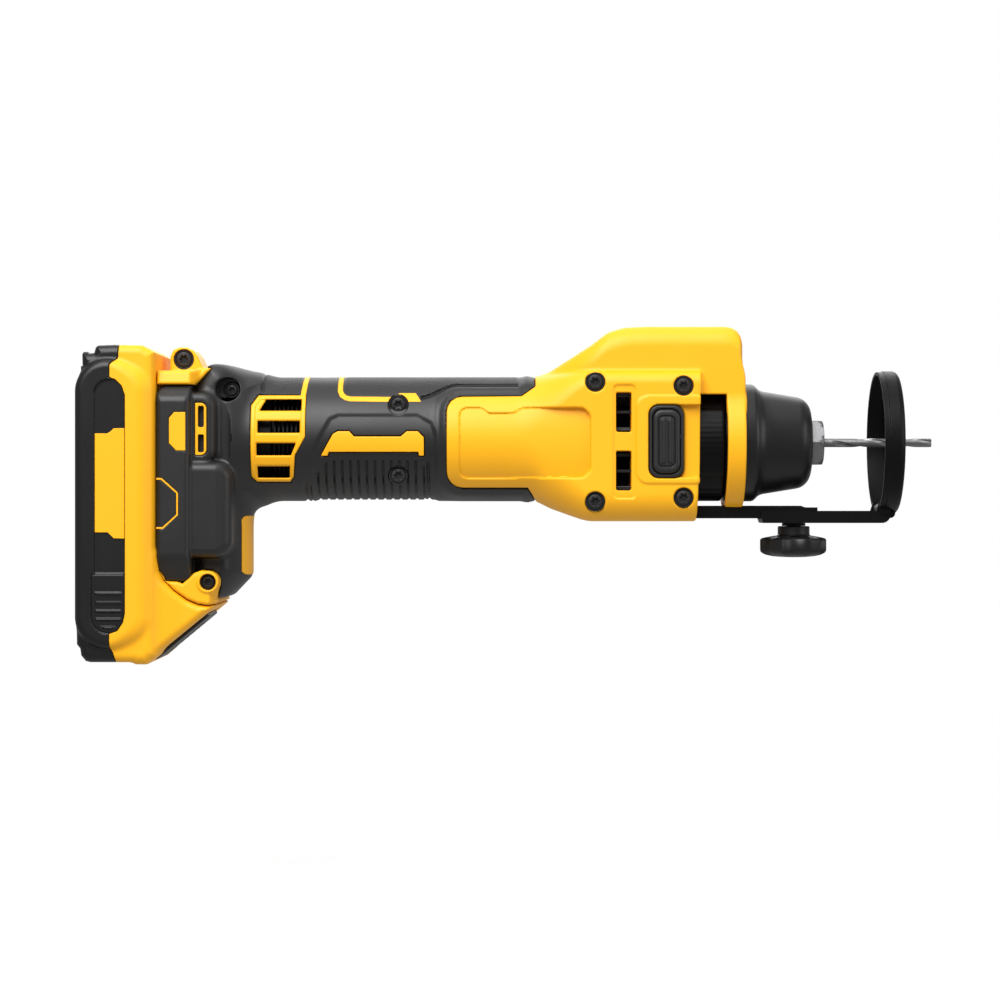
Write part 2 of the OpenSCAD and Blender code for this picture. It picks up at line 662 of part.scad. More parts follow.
module guide_rivet() color("#3a3c3f") {
    pin_y(ear_x0 + 2.1, -24.4, -arm_out, 2 * arm_out, 2.4);
    for (y = [-arm_out - rivet_t, arm_out]) pin_y(ear_x0 + 2.1, -24.4, y, rivet_t, 4);
}

module clamp_washer() color("#8b8f94") translate([knob_x, 0, arm_low - 0.1 - washer_t]) difference() {
    cylinder(h = washer_t, d = 8.6);
    translate([0, 0, -1]) cylinder(h = 3, d = stud_d + 2 * run);
}

// Five-lobe knob and the stud moulded into it
module clamp_knob() color("#202122") translate([knob_x, 0, 0]) {
    difference() {
        union() {
            translate([0, 0, head_top]) cylinder(h = knob_top - head_top, d = 11.7);
            intersection() {
                translate([0, 0, head_top - knob_t]) linear_extrude(knob_t) difference() {
                    circle(d = knob_d);
                    for (k = [0:4]) rotate(72 * k - 90) translate([knob_d / 2 + 3.2, 0]) circle(r = 5.2);
                }
                translate([0, 0, head_top - knob_t]) rotate_extrude() polygon([[0, 0], [4, 0.3], [8.5, 1.1],
                    [knob_d / 2, 2.2], [knob_d / 2, knob_t - 0.8], [knob_d / 2 - 0.8, knob_t],
                        [0, knob_t]]);
            }
        }
        translate([0, 0, head_top - stud_in]) cylinder(h = far, d = stud_d);
    }
}
module clamp_stud() color("#9a9ea3") translate([knob_x, 0, head_top - stud_in])
    cylinder(h = bracket_z - 0.3 - head_top + stud_in, d = stud_d);

// Outline of the pack in the side view, without its rail and tower
module pack_outline() polygon([[0, -pack_low + 9], [1.5, -pack_low + 3.5], [5.5, -pack_low],
    [pack_h, -pack_low],
    [pack_h, pack_top - 4], [pack_h - 4, pack_top], [13, pack_top], [4, pack_top - 0.4],
        [4, pack_top - 3], [0, pack_top - 4.5]]);

// Inside of the pack
module pack_hollow() translate([pack_wall, -pack_w / 2 + pad_t + pack_wall, -pack_low + pack_wall + 2])
    cube([pack_h - 2 * pack_wall, pack_w - 2 * pad_t - 2 * pack_wall, pack_l - 2 * pack_wall - 4]);

// Pack without its rail, before it is split into tray and cover
module pack_form() along_y(-pack_w / 2 + pad_t, pack_w - 2 * pad_t) pack_outline();

// Part of the pack's side that stands out as a pad
module side_pads() along_y(-pack_w / 2, pack_w) round_rect([0, -pack_low + 4.9], [24, pack_top - 5.2], 11);

module tray_space() translate([-over, -far / 2, -far / 2]) cube([tray_h + over, far, far]);

module battery_tray() color("#19191a") difference() {
    intersection() {
        union() {
            pack_form();
            side_pads();
        }
        tray_space();
    }
    pack_hollow();
}

// Tower at the lower end of the pack
function tower_points() = concat([[pack_h - 1, -pack_low]], [for (p = toe_edge(0.4)) p],
    [[foot_x0 + 22, -57.4]], [[pack_h - 3, -pack_low]]);

// Space of the release button on the slope of the tower
slope = atan2(pack_low - 57.4, foot_x0 + 25 - pack_h);
module on_slope() translate([foot_x0 + 22, 0, -57.4]) rotate([0, -slope, 0]) children();

module battery_cover() color("#eeb211") difference() {
    union() {
        difference() {
            union() {
                pack_form();
                side_pads();
            }
            tray_space();
            pack_hollow();
        }
        translate([rail_x0 - over, -rail_neck_w / 2, rail_z0])
            cube([rail_x1 - rail_x0 + 2 * over, rail_neck_w, rail_z1 - rail_z0]);
        translate([rail_x1, -rail_head_w / 2, rail_z0])
            cube([rail_x2 - rail_x1, rail_head_w, rail_z1 - rail_z0]);
        along_y(-toe_y, 2 * toe_y) polygon(tower_points());
    }
    for (y = [-15, -7, 7, 15]) translate([rail_x1 + 0.3, y - 1, rail_z1 - 15]) cube([10, 2, 20]);
    on_slope() {
        translate([-29.5 - slip, -15 - slip, -4]) cube([17.5 + 2 * slip, 30 + 2 * slip,
            6.2 + press + slip]);
        translate([-29.5 - slip, -15 - slip, -4]) cube([12.5 + 2 * slip, 30 + 2 * slip, 10 + press + slip]);
    }
    translate([gauge_x, -8.5, pack_top - 3]) cube([6, 17, 10]);
}

module battery_cells() color("#3f6fa8") for (i = [-2:2])
    pin_y(cell_x, cell_z + cell_pitch * i, -cell_l / 2, cell_l, cell_d);

// Frames that hold the ends of the cells
module cell_frames() color("#2d2f31") for (y = [-cell_l / 2 + 1, cell_l / 2 - 9]) difference() {
    translate([pack_wall, y, cell_z - 2.5 * cell_pitch - 0.5]) cube([cell_d + 0.6, 8, 5 * cell_pitch + 1]);
    for (i = [-2:2]) pin_y(cell_x, cell_z + cell_pitch * i, y - 1, 10, cell_d + 0.02);
}

module cell_straps() color("#c6c9cc") for (y = [-cell_l / 2 - 0.3, cell_l / 2], i = [-2, 0, 2])
    translate([cell_x - 4, y, cell_z + cell_pitch * i - 4]) cube([8, 0.3, i == 2 ? 8 : cell_pitch + 8]);

module pack_board() color("#2f7048") translate([pack_h - pack_wall - 1.6, -24, -44]) cube([1.6, 48, 62]);

module pack_contacts() color("#c58f3d") for (y = [-15, -7, 7, 15], s = [-1, 1])
    translate([rail_x1 + 0.3, y + s * 0.8 - 0.2, rail_z1 - 14.9]) cube([rail_x2 - rail_x1 - 0.3, 0.4, 8]);

// Release button that lies in the tower's slope
module release_button() color("#161617") on_slope() {
    translate([-29.5, -15, -1.2]) cube([17.5, 30, 3.4]);
    translate([-29.5, -15, -1.2]) cube([12.5, 30, 7.2]);
}

module gauge_panel() color("#141415") translate([gauge_x, -8.5, pack_top - 3]) difference() {
    cube([6, 17, 3]);
    translate([1, 10, 0.8]) cube([4, 5, 5]);
}
module gauge_button() color("#8f9396") translate([gauge_x + 1 + slip, 1.5 + slip, pack_top - 0.8])
    cube([4 - 2 * slip, 5 - 2 * slip, 1.2]);

right_housing();
left_housing();
right_grip();
left_grip();
housing_screws();
bit_collar();
nose_cone();
bearing_carrier();
front_bearing_race();
rear_bearing_race();
stator_core();
stator_windings();
motor_shaft();
rotor_magnets();
cooling_fan();
front_bearing_inner();
rear_bearing_inner();
collet();
cutting_bit();
collet_nut();
nut_sleeve();
switch_button();
switch_boot();
switch_body();
light_lens();
light_board();
controller_case();
heat_sink();
motor_wires();
terminal_block();
terminal_blades();
guide_bracket();
guide_arm();
guide_ring();
guide_rivet();
clamp_washer();
clamp_knob();
clamp_stud();
battery_tray();
battery_cover();
battery_cells();
cell_frames();
cell_straps();
pack_board();
pack_contacts();
release_button();
gauge_panel();
gauge_button();
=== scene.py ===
"""Dress of a cordless drywall cut-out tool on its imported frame.

Moulded shells, soft grip, battery pack, cutter, depth guide and studio. Lengths in the shape functions are
millimetres in the tool's frame: x runs from the battery's base to the bit, y across the tool and z up, with
the spindle on the x axis. A piece's points turn into metres when its mesh is made.
"""
import json

import bmesh
import bpy
import numpy as np
from bpy.props import FloatProperty, FloatVectorProperty, IntProperty, PointerProperty
from bpy.types import Operator, Panel, PropertyGroup
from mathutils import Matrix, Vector


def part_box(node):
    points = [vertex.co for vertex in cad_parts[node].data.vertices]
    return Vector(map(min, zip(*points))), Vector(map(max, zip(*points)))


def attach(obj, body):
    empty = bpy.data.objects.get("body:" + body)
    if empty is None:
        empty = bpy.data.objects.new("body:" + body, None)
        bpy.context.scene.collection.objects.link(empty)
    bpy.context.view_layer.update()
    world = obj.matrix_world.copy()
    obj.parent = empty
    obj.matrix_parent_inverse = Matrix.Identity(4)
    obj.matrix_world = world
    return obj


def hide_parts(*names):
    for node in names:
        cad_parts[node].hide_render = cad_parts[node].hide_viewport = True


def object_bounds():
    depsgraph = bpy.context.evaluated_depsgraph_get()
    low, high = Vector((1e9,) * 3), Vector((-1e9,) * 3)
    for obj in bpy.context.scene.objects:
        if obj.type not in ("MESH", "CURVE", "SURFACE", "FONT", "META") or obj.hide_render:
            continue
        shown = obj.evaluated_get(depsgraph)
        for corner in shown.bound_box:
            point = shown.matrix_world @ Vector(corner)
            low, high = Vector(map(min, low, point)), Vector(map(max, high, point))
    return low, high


bl_info = {
    "name": "Cut-out tool dress",
    "version": (1, 0, 0),
    "blender": (4, 5, 0),
    "location": "View3D > Sidebar > Cut-out tool",
    "description": "Visible pieces, finishes and studio of a drywall cut-out tool on its packed frame",
    "category": "Object",
}

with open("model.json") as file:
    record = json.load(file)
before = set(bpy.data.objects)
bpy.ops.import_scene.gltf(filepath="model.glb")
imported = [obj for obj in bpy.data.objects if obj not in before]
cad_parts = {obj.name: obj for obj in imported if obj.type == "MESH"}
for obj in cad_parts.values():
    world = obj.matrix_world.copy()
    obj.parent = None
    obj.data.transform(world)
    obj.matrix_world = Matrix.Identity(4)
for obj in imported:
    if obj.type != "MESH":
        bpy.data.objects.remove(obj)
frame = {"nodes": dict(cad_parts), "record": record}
CAD_BOX = [[float(v) for v in end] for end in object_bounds()]
MM = 0.001
# Metres from the tool's lowest point to the floor, which lies below the battery when it has slid off
FLOOR_DROP = 0.088

# Outlines in the side view, as (x, z)
NOSE_LOW = [(120, -21.4), (164.4, -21.4), (169.9, -24.2), (178.1, -27.1), (182.9, -28.7), (240, -28.7)]
NOSE_CREST = [(140, 8), (164.2, 23.1), (169.9, 26.1), (184.6, 35.3), (190.4, 39.8), (196.2, 41.5),
              (204.2, 41.9), (233.4, 41.9), (236.3, 41.1), (238.4, 39.0), (239.5, 36.2), (240, 33)]
TONGUE = [(132.1, -10.9), (132.5, -13.0), (133.7, -14.9), (135.5, -16.1), (137.6, -16.5), (161.4, -16.5),
          (165.2, -22.4), (165.2, -60), (300, -60), (300, 60), (164.0, 60), (164.2, 20.1), (159.1, 16.5),
          (137.6, 16.3), (135.5, 15.9), (133.7, 14.7), (132.5, 12.8), (132.1, 10.7)]
NECK = [(39.8, 19.5), (44.4, 25.9), (45.4, 27.2), (46.8, 28.0), (48.6, 28.3), (51.4, 28.2), (54.4, 27.5),
        (57.4, 26.3), (60.4, 25.0), (63.6, 24.0), (65.6, 22.0), (65.6, -19.0), (64.6, -21.6), (62.7, -22.6),
        (61.1, -24.6), (60.4, -27.0), (60.2, -30.0), (60.2, -48.8), (52.4, -56.4), (44.3, -56.4),
        (39.8, -50.2)]
PANEL = [(31.8, 20.0), (40.8, 20.0), (40.8, -50.2), (36.2, -50.2), (31.9, -50.0), (29.6, -46.0),
         (28.8, -41.3), (28.8, 17.0), (29.7, 19.1)]
GRILLE = [(61.6, 13.1), (64.1, 16.8), (81.2, 16.8), (81.2, 1.7), (77.5, -4.9), (76.8, -12.6), (75.4, -14.4),
          (63.4, -14.4), (61.6, -12.6)]
GRILLE_SLOTS = [[(67.0, 15.0), (79.4, 15.0), (79.4, 11.4), (65.0, 11.4)],
                [(64.3, 7.2), (79.0, 7.2), (79.0, 3.4), (64.3, 3.4)],
                [(63.9, -0.8), (77.5, -0.8), (75.9, -4.7), (63.9, -4.7)],
                [(64.1, -9.1), (75.3, -9.1), (75.1, -12.7), (64.1, -12.7)]]
RIBS = [(82.0, -40), (82.4, -16), (86.5, -9.2), (89.2, -6.6), (122.6, -6.6), (124.4, -9), (124.4, -40)]
CONTOUR = [(84.2, -3.0), (86.5, 1.9), (90.0, 8.2), (93.0, 9.6), (121.6, 9.6), (126.4, 6.8), (128.2, 2),
           (128.2, -40), (84.2, -40)]
PLAQUE = [(86.9, -5.1), (91.2, 2.7), (93.0, 3.7), (97.1, 3.7), (98.8, 1.8), (115.6, 1.8), (117.8, 3.7),
          (121.7, 3.7), (123.9, 1.5), (123.9, -5.1), (122.2, -5.1), (121.9, -3.7), (89.7, -3.7),
          (89.2, -5.1)]
TOE_EDGE = [(28.9, -42.3), (29.3, -46.1), (31.2, -49.5), (34.8, -53.1), (39.6, -56.4), (43.4, -58.0),
            (46.8, -58.5), (49.9, -58.1)]
TOE = TOE_EDGE + [(49.3, -56.2), (49.9, -53.8), (50.4, -50.4), (48.2, -47.1), (44.8, -46.1), (42.0, -47.1),
                  (40.1, -49.0), (37.9, -50.9), (36.2, -50.2), (31.9, -50.0), (29.4, -43.0)]
EAR = [(31.3, 24.0), (31.5, 31.5), (32.6, 33.6), (34.6, 34.5), (37.5, 34.5), (39.8, 33.5), (41.3, 31.5),
       (44.5, 25.0), (44.5, 22.0), (31.3, 22.0)]
BAND = [(28.8, 20.3), (41.8, 20.3), (47.4, 26.4), (44.0, 26.6), (41.0, 25.3), (28.8, 25.3)]
PACK = [(0.5, 18.0), (1.4, 23.0), (2.6, 26.6), (2.5, 31.0), (3.1, 31.8), (4.5, 31.8), (5.0, 31.2),
        (6.8, 31.4), (7.3, 33.3), (8.3, 34.1), (14.0, 34.3), (24.0, 34.1), (28.45, 31.6), (28.45, -76.0),
        (25.3, -78.8), (5.5, -78.8), (3.8, -78.4), (2.1, -76.3), (1.8, -73.9), (0.6, -72.4), (0.5, -66.0)]
TRAY = [(-5, 60), (15.6, 60), (15.6, 29.5), (12.8, 27.2), (12.8, 22.4), (15.0, 21.6), (17.2, 19.4),
        (18.3, 16), (18.3, -61), (17.6, -64.5), (15.6, -67.4), (12.7, -68.4), (12.6, -73.3), (13.8, -75.6),
        (14.6, -78.8), (14.6, -100), (-5, -100)]
TOWER = ([(25.0, -78.8), (51.2, -57.4)] + [(x, z - 0.4) for x, z in TOE_EDGE[::-1]]
         + [(28.4, -40), (22, -40), (22, -78.8)])
STICKER = [(7.7, 2.6), (12.2, 2.6), (13.4, 3.4), (14.4, 4.4), (18.2, 4.5), (18.2, -34.7), (14.4, -34.6),
           (13.4, -33.6), (12.2, -32.5), (7.7, -32.5)]
PANEL_WINDOW = [(35.2, 10.4), (39.4, 10.4), (39.4, -3.5), (36.0, -3.5), (33.4, -0.8), (33.4, 8.2)]
HALF_HEX = [(28.2, -13.5), (30.8, -13.5), (36.4, -18.5), (36.4, -26.3), (31.3, -31.0), (28.2, -31.0)]
# Screws as (x, z, distance of the head's top from the middle plane, radius of the head)
SCREWS = [(185.5, 21.4, 24.2, 3.5), (217.2, 20.0, 24.2, 3.5), (185.5, -21.6, 24.2, 3.5),
          (217.2, -20.2, 24.2, 3.5), (114.6, 13.4, 18.2, 3.4), (114.6, -12.2, 18.2, 3.4),
          (54.3, 18.7, 16.4, 2.7), (36.4, 30.1, 11.7, 3.6), (47.0, -50.3, 28.7, 2.8)]
LABEL = [(138.4, 12.1), (144.8, 12.1), (147.0, 10.1), (156.3, 10.1), (159.2, 12.1), (181.2, 12.1),
         (183.7, 9.6), (183.7, -10.4), (181.2, -12.9), (138.4, -12.9), (136.9, -11.4), (136.9, 10.6)]
GRIP_R, GRIP_Z = 22.7, 1.3
LABEL_DEPTH = 0.45
SCREW_ROOM, HEAD_DEPTH = 0.12, 2.2
# The tool's two halves: a word for the name and the sign of y
SIDES = (("right", -1), ("left", 1))


def ease(t, start, end):
    """Share of the way from start to end, held to 0..1 and smoothed as 3s^2 - 2s^3."""
    s = np.clip((t - start) / (end - start), 0.0, 1.0)
    return s * s * (3 - 2 * s)


def join(a, b, k):
    """Union of two signed distances: the smaller one, blended over k where they are close."""
    h = np.clip(0.5 + 0.5 * (b - a) / k, 0.0, 1.0)
    return b + (a - b) * h - k * h * (1 - h)


def cut(a, b, k=0.3):
    """a less b: the larger of a and minus b, blended over k."""
    return -join(-a, b, k)


def less(d, *walls):
    """d without the space that lies inside all of the walls, with sharp edges."""
    hollow = walls[0]
    for wall in walls[1:]:
        hollow = np.maximum(hollow, wall)
    return np.maximum(d, -hollow)


def away(u, v, centre_u, centre_v):
    """Distance to a point of a plane."""
    return np.sqrt((u - centre_u) ** 2 + (v - centre_v) ** 2)


def comb(t, start, pitch):
    """Distance to the nearest of lines that lie pitch apart, one of them at start."""
    step = (t - start) / pitch
    return np.abs(step - np.round(step)) * pitch


def groove(t, width):
    """Section of a soft groove: 1 at its middle, falling off as exp(-(t / width)^2)."""
    return np.exp(-(t / width) ** 2)


def corner(a, b, r):
    """Intersection of two signed distances whose common edge is rounded with radius r."""
    u, v = np.maximum(a + r, 0), np.maximum(b + r, 0)
    return np.sqrt(u * u + v * v) + np.minimum(np.maximum(a, b) + r, 0) - r


def window(u, v, u0, u1, v0, v1, r):
    """Signed distance to a rectangle from (u0, v0) to (u1, v1) with corners of radius r."""
    return corner(np.abs(u - (u0 + u1) / 2) - (u1 - u0) / 2, np.abs(v - (v0 + v1) / 2) - (v1 - v0) / 2, r)


def outline(u, v, points, closed=True):
    """Distance to the nearest edge of a polygon, below nought inside; an open line has no inside."""
    u, v = np.broadcast_arrays(u, v)
    near, inside = np.full(u.shape, 1e9), np.zeros(u.shape, bool)
    ends = points[1:] + points[:1] if closed else points[1:]
    for (a, b), (c, d) in zip(points, ends):
        du, dv = c - a, d - b
        t = np.clip(((u - a) * du + (v - b) * dv) / (du * du + dv * dv), 0, 1)
        near = np.minimum(near, (u - a - t * du) ** 2 + (v - b - t * dv) ** 2)
        inside ^= ((b > v) != (d > v)) & (u < a + (v - b) * du / (dv or 1e-9))
    return np.where(inside & closed, -1.0, 1.0) * np.sqrt(near)


def bent_line(t, points, soft=1.6):
    """Height of a polyline at t, its bends softened by the mean of five heights around t."""
    u, v = np.array(points, float).T
    return np.mean([np.interp(t + s * soft, u, v) for s in (-1, -0.5, 0, 0.5, 1)], axis=0)


def area(distance, soft=0.5):
    """1 inside an outline and 0 outside, over a soft edge."""
    return ease(-distance, -soft / 2, soft / 2)


def half_of(d, y, side):
    """The part of a form on one side of the seam plane, with a fine rounded edge along the seam."""
    return corner(d, 0.04 - side * y, 0.22)


def slope_of(field, points, step):
    """Gradient of a distance field at points, by central differences."""
    moves = np.eye(3) * step
    return np.stack([field(*(points + m).T) - field(*(points - m).T) for m in moves], 1) / (2 * step)


def spaced(low, high, pitch, fine=None):
    """Grid places from low to high with a margin, pitch apart, or closer inside a stretch (start, end,
    pitch)."""
    low, high = low - pitch, high + 2 * pitch
    runs = [(low, fine[0], pitch), fine, (fine[1], high, pitch)] if fine else [(low, high, pitch)]
    return np.concatenate([np.linspace(a, b, max(1, round((b - a) / p)), endpoint=False) for a, b, p in runs])


def cast(field, axes):
    """Surface where a distance field is nought: one point in each grid cell that the surface crosses, at
    the mean of the crossings on the cell's edges, then moved along the gradient onto the surface, and one
    quad for each crossed edge."""
    places = np.meshgrid(*axes, indexing="ij", sparse=True)
    d = np.array(np.broadcast_to(field(*places), [len(a) for a in axes]))
    solid = d < 0
    size = [n - 1 for n in d.shape]

    def at(values, offset):
        return values[tuple(slice(o, o + n) for o, n in zip(offset, size))]

    corners = np.array(np.meshgrid([0, 1], [0, 1], [0, 1])).reshape(3, -1).T
    count = sum(at(solid, c).astype(np.int8) for c in corners)
    mixed = (count > 0) & (count < 8)
    number = np.full(mixed.shape, -1)
    number[mixed] = np.arange(mixed.sum())
    total, hits = np.zeros((mixed.sum(), 3)), np.zeros((mixed.sum(), 1))
    faces = []
    for axis in range(3):
        along = np.eye(3, dtype=int)[axis]
        second, third = np.roll(along, 1), np.roll(along, 2)
        for start in (0 * along, second, third, second + third):
            a, b = at(d, start)[mixed], at(d, start + along)[mixed]
            hit = (a < 0) != (b < 0)
            t = np.where(hit, a / np.where(hit, a - b, 1), 0)
            total += (start + t[:, None] * along) * hit[:, None]
            hits += hit[:, None]
        here = solid[tuple(slice(0, n - 1) if i == axis else slice(1, n - 1) for i, n in enumerate(d.shape))]
        there = solid[tuple(slice(1, n) if i == axis else slice(1, n - 1) for i, n in enumerate(d.shape))]
        for sign, crossed in ((1, here & ~there), (-1, there & ~here)):
            cells = np.argwhere(crossed) + second + third
            ring = [cells - second - third, cells - third, cells, cells - second][::sign]
            faces.append(np.stack([number[tuple(c.T)] for c in ring], 1))
    cells, share = np.argwhere(mixed).T, (total / hits).T
    points = np.stack([a[i] + s * (a[i + 1] - a[i]) for a, i, s in zip(axes, cells, share)], 1)
    pitch = min(np.diff(a).min() for a in axes)
    for _ in range(3):
        slope = slope_of(field, points, 0.02)
        move = field(*points.T) / np.maximum((slope * slope).sum(1), 0.2)
        points -= np.clip(move, -0.5 * pitch, 0.5 * pitch)[:, None] * slope
    normals = slope_of(field, points, 0.12 * pitch)
    length = np.linalg.norm(normals, axis=1, keepdims=True)
    return points, np.concatenate(faces), normals / np.maximum(length, 1e-9)


def grid_faces(rows, columns, wrap_rows=False, wrap_columns=False):
    """Quads between neighbours of a grid of points, closed round the rows or the columns where asked."""
    down, along = np.arange(rows - (not wrap_rows)), np.arange(columns - (not wrap_columns))
    i, j = np.meshgrid(down, along, indexing="ij")
    k, l = (i + 1) % rows, (j + 1) % columns
    return np.stack([i * columns + j, k * columns + j, k * columns + l, i * columns + l], -1).reshape(-1, 4)


def softened(points, radius, steps=4):
    """A closed profile whose corners become curves: each corner is the quadratic curve between the two
    points that lie radius away from it along its sides, with the corner as its control point."""
    p = np.array(points, float)
    before, after = np.roll(p, 1, 0) - p, np.roll(p, -1, 0) - p
    la, lb = np.linalg.norm(before, axis=1)[:, None], np.linalg.norm(after, axis=1)[:, None]
    a, b = p + before / la * np.minimum(radius, 0.45 * la), p + after / lb * np.minimum(radius, 0.45 * lb)
    t = np.linspace(0, 1, steps)[None, :, None]
    return ((1 - t) ** 2 * a[:, None] + 2 * t * (1 - t) * p[:, None] + t * t * b[:, None]).reshape(-1, 2)


def turned(profile, count=128, shape=None):
    """A closed profile of (x, radius) carried round the spindle axis; shape(x, radius, angle) may change
    the radius."""
    profile = np.asarray(profile, float)
    angle = np.linspace(0, 2 * np.pi, count, endpoint=False)[None, :]
    x, r = profile[:, :1] + 0 * angle, profile[:, 1:] + 0 * angle
    if shape:
        r = shape(x, r, angle)
    points = np.stack([x, -r * np.sin(angle), r * np.cos(angle)], -1).reshape(-1, 3)
    return points, grid_faces(len(profile), count, True, True)


def piece(name, points, faces, body, slot, nodes=(), normals=None, finish=None):
    """Mesh object at the origin with its points in metres, the body that it rides on, its material slot and
    the nodes it stands for. It has the slot's finish or the one named. Faces of a closed surface without
    given normals are turned outwards."""
    mesh = bpy.data.meshes.new(name)
    mesh.vertices.add(len(points))
    mesh.vertices.foreach_set("co", np.ascontiguousarray(points * MM, np.float32).ravel())
    mesh.loops.add(faces.size)
    mesh.loops.foreach_set("vertex_index", np.ascontiguousarray(faces, np.int32).ravel())
    mesh.polygons.add(len(faces))
    mesh.polygons.foreach_set("loop_start", np.arange(0, faces.size, faces.shape[1], dtype=np.int32))
    mesh.update(calc_edges=True)
    if normals is None:
        work = bmesh.new()
        work.from_mesh(mesh)
        bmesh.ops.remove_doubles(work, verts=work.verts, dist=1e-7)
        bmesh.ops.dissolve_degenerate(work, edges=work.edges, dist=1e-8)
        bmesh.ops.recalc_face_normals(work, faces=work.faces)
        work.to_mesh(mesh)
        work.free()
        mesh.shade_smooth()
        mesh.set_sharp_from_angle(angle=np.radians(38))
    else:
        mesh.shade_smooth()
        mesh.normals_split_custom_set_from_vertices(normals.astype(np.float32))
    mesh.materials.append(finish_of(finish or slot))
    thing = bpy.data.objects.new(name, mesh)
    bpy.context.collection.objects.link(thing)
    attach(thing, body)
    if nodes:
        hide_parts(*nodes)


def moulding(name, field, low, high, pitch, body, slot, nodes=(), fine=None, finish=None):
    """A piece cast from a distance field on a grid with one pitch or one for each axis, finer along a
    stretch of x."""
    steps = np.broadcast_to(pitch, 3)
    axes = [spaced(a, b, p, stretch) for a, b, p, stretch in zip(low, high, steps, (fine, None, None))]
    points, faces, normals = cast(field, axes)
    piece(name, points, faces, body, slot, nodes, normals, finish)


def mouldings(name, field_of, low, high, pitch, body, slot, node=None, fine=None):
    """A right and a left moulding from field_of(side); the y of low and high are distances from the middle
    plane."""
    for word, side in SIDES:
        inner, outer = sorted((side * low[1], side * high[1]))
        nodes = [word + "_" + node] if node else ()
        corners = (low[0], inner, low[2]), (high[0], outer, high[2])
        moulding(name + "_" + word, field_of(side), *corners, pitch, body, slot, nodes, fine)


def box_mm(node):
    """Low and high corner of a node of the frame, in millimetres."""
    return [np.array(v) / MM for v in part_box(node)]


class Socket:
    """An output of a finish's nodes; each sign of arithmetic used on it adds one Math node."""

    def __init__(self, finish, output):
        self.finish, self.output = finish, output

    def math(self, operation, second=0.0):
        return self.finish.node("ShaderNodeMath", {"operation": operation}, {0: self, 1: second})

    def __add__(self, other):
        return self.math("ADD", other)

    def __sub__(self, other):
        return self.math("SUBTRACT", other)

    def __mul__(self, other):
        return self.math("MULTIPLY", other)

    def __gt__(self, other):
        return self.math("GREATER_THAN", other)

    def __lt__(self, other):
        return self.math("LESS_THAN", other)

    def power(self, other):
        return self.math("POWER", other)

    def wave(self):
        return self.math("SINE")


class Finish:
    """A node material on the Principled shader, laid out in Object coordinates."""

    def __init__(self, name, constants):
        self.material = bpy.data.materials.new(name)
        self.material.use_nodes = True
        self.tree = self.material.node_tree
        self.shader = self.tree.nodes["Principled BSDF"]
        for socket, value in constants.items():
            self.shader.inputs[socket].default_value = value

    def node(self, kind, settings, inputs, output=0):
        """Adds a node: its settings first, then values or links for its sockets."""
        made = self.tree.nodes.new(kind)
        for key, value in settings.items():
            setattr(made, key, value)
        for key, value in inputs.items():
            if isinstance(value, Socket):
                self.tree.links.new(value.output, made.inputs[key])
            else:
                made.inputs[key].default_value = value
        return Socket(self, made.outputs[output])

    def feed(self, socket, value):
        """Links a value that changes over the surface to the shader."""
        self.tree.links.new(value.output, self.shader.inputs[socket])

    def place(self):
        return self.node("ShaderNodeTexCoord", {}, {}, "Object")

    def axes(self):
        """The x, y and z of the point in millimetres."""
        place = self.node("ShaderNodeVectorMath", {"operation": "SCALE"}, {0: self.place(), "Scale": 1000.0})
        return [self.node("ShaderNodeSeparateXYZ", {}, {0: place}, output) for output in range(3)]

    def noise(self, scale, detail=2.0, stretch=(1, 1, 1)):
        place = self.node("ShaderNodeMapping", {}, {"Vector": self.place(), "Scale": stretch})
        return self.node("ShaderNodeTexNoise", {}, {"Vector": place, "Scale": scale, "Detail": detail})

    def blend(self, share, first, second):
        """Colour between first and second by a share from 0 to 1."""
        return self.node("ShaderNodeMix", {"data_type": "RGBA"}, {0: share, 6: first, 7: second}, 2)

    def bump(self, height, distance, strength):
        inputs = {"Strength": strength, "Distance": distance, "Height": height}
        self.feed("Normal", self.node("ShaderNodeBump", {}, inputs))

    def tint(self, share, colour, dark, light):
        """Feeds the base colour with shades of a colour from dark to light, by a share from 0 to 1."""
        self.feed("Base Color", self.blend(share, shade(colour, dark), shade(colour, light)))


def shade(colour, factor):
    """A colour made lighter or darker, with alpha 1."""
    return [min(1.0, c * factor) for c in colour[:3]] + [1.0]


def moulded_plastic(name, colour, rough, grain, depth, gloss=0.3):
    """Injection-moulded plastic: a fine spark-eroded grain, faint flow shading and handling marks in the
    gloss."""
    finish = Finish(name, {"Specular IOR Level": gloss})
    flow = finish.noise(22, 3.0)
    marks = finish.noise(90, 4.0, (1, 1, 0.35))
    fine = finish.noise(grain, 2.0)
    finish.tint(flow * 0.7 + fine * 0.3, colour, 0.93, 1.05)
    finish.feed("Roughness", marks * 0.14 + fine * 0.06 + (rough - 0.1))
    finish.bump(fine + finish.noise(grain * 0.45, 1.0) * 0.6, depth * MM, 0.5)
    return finish.material


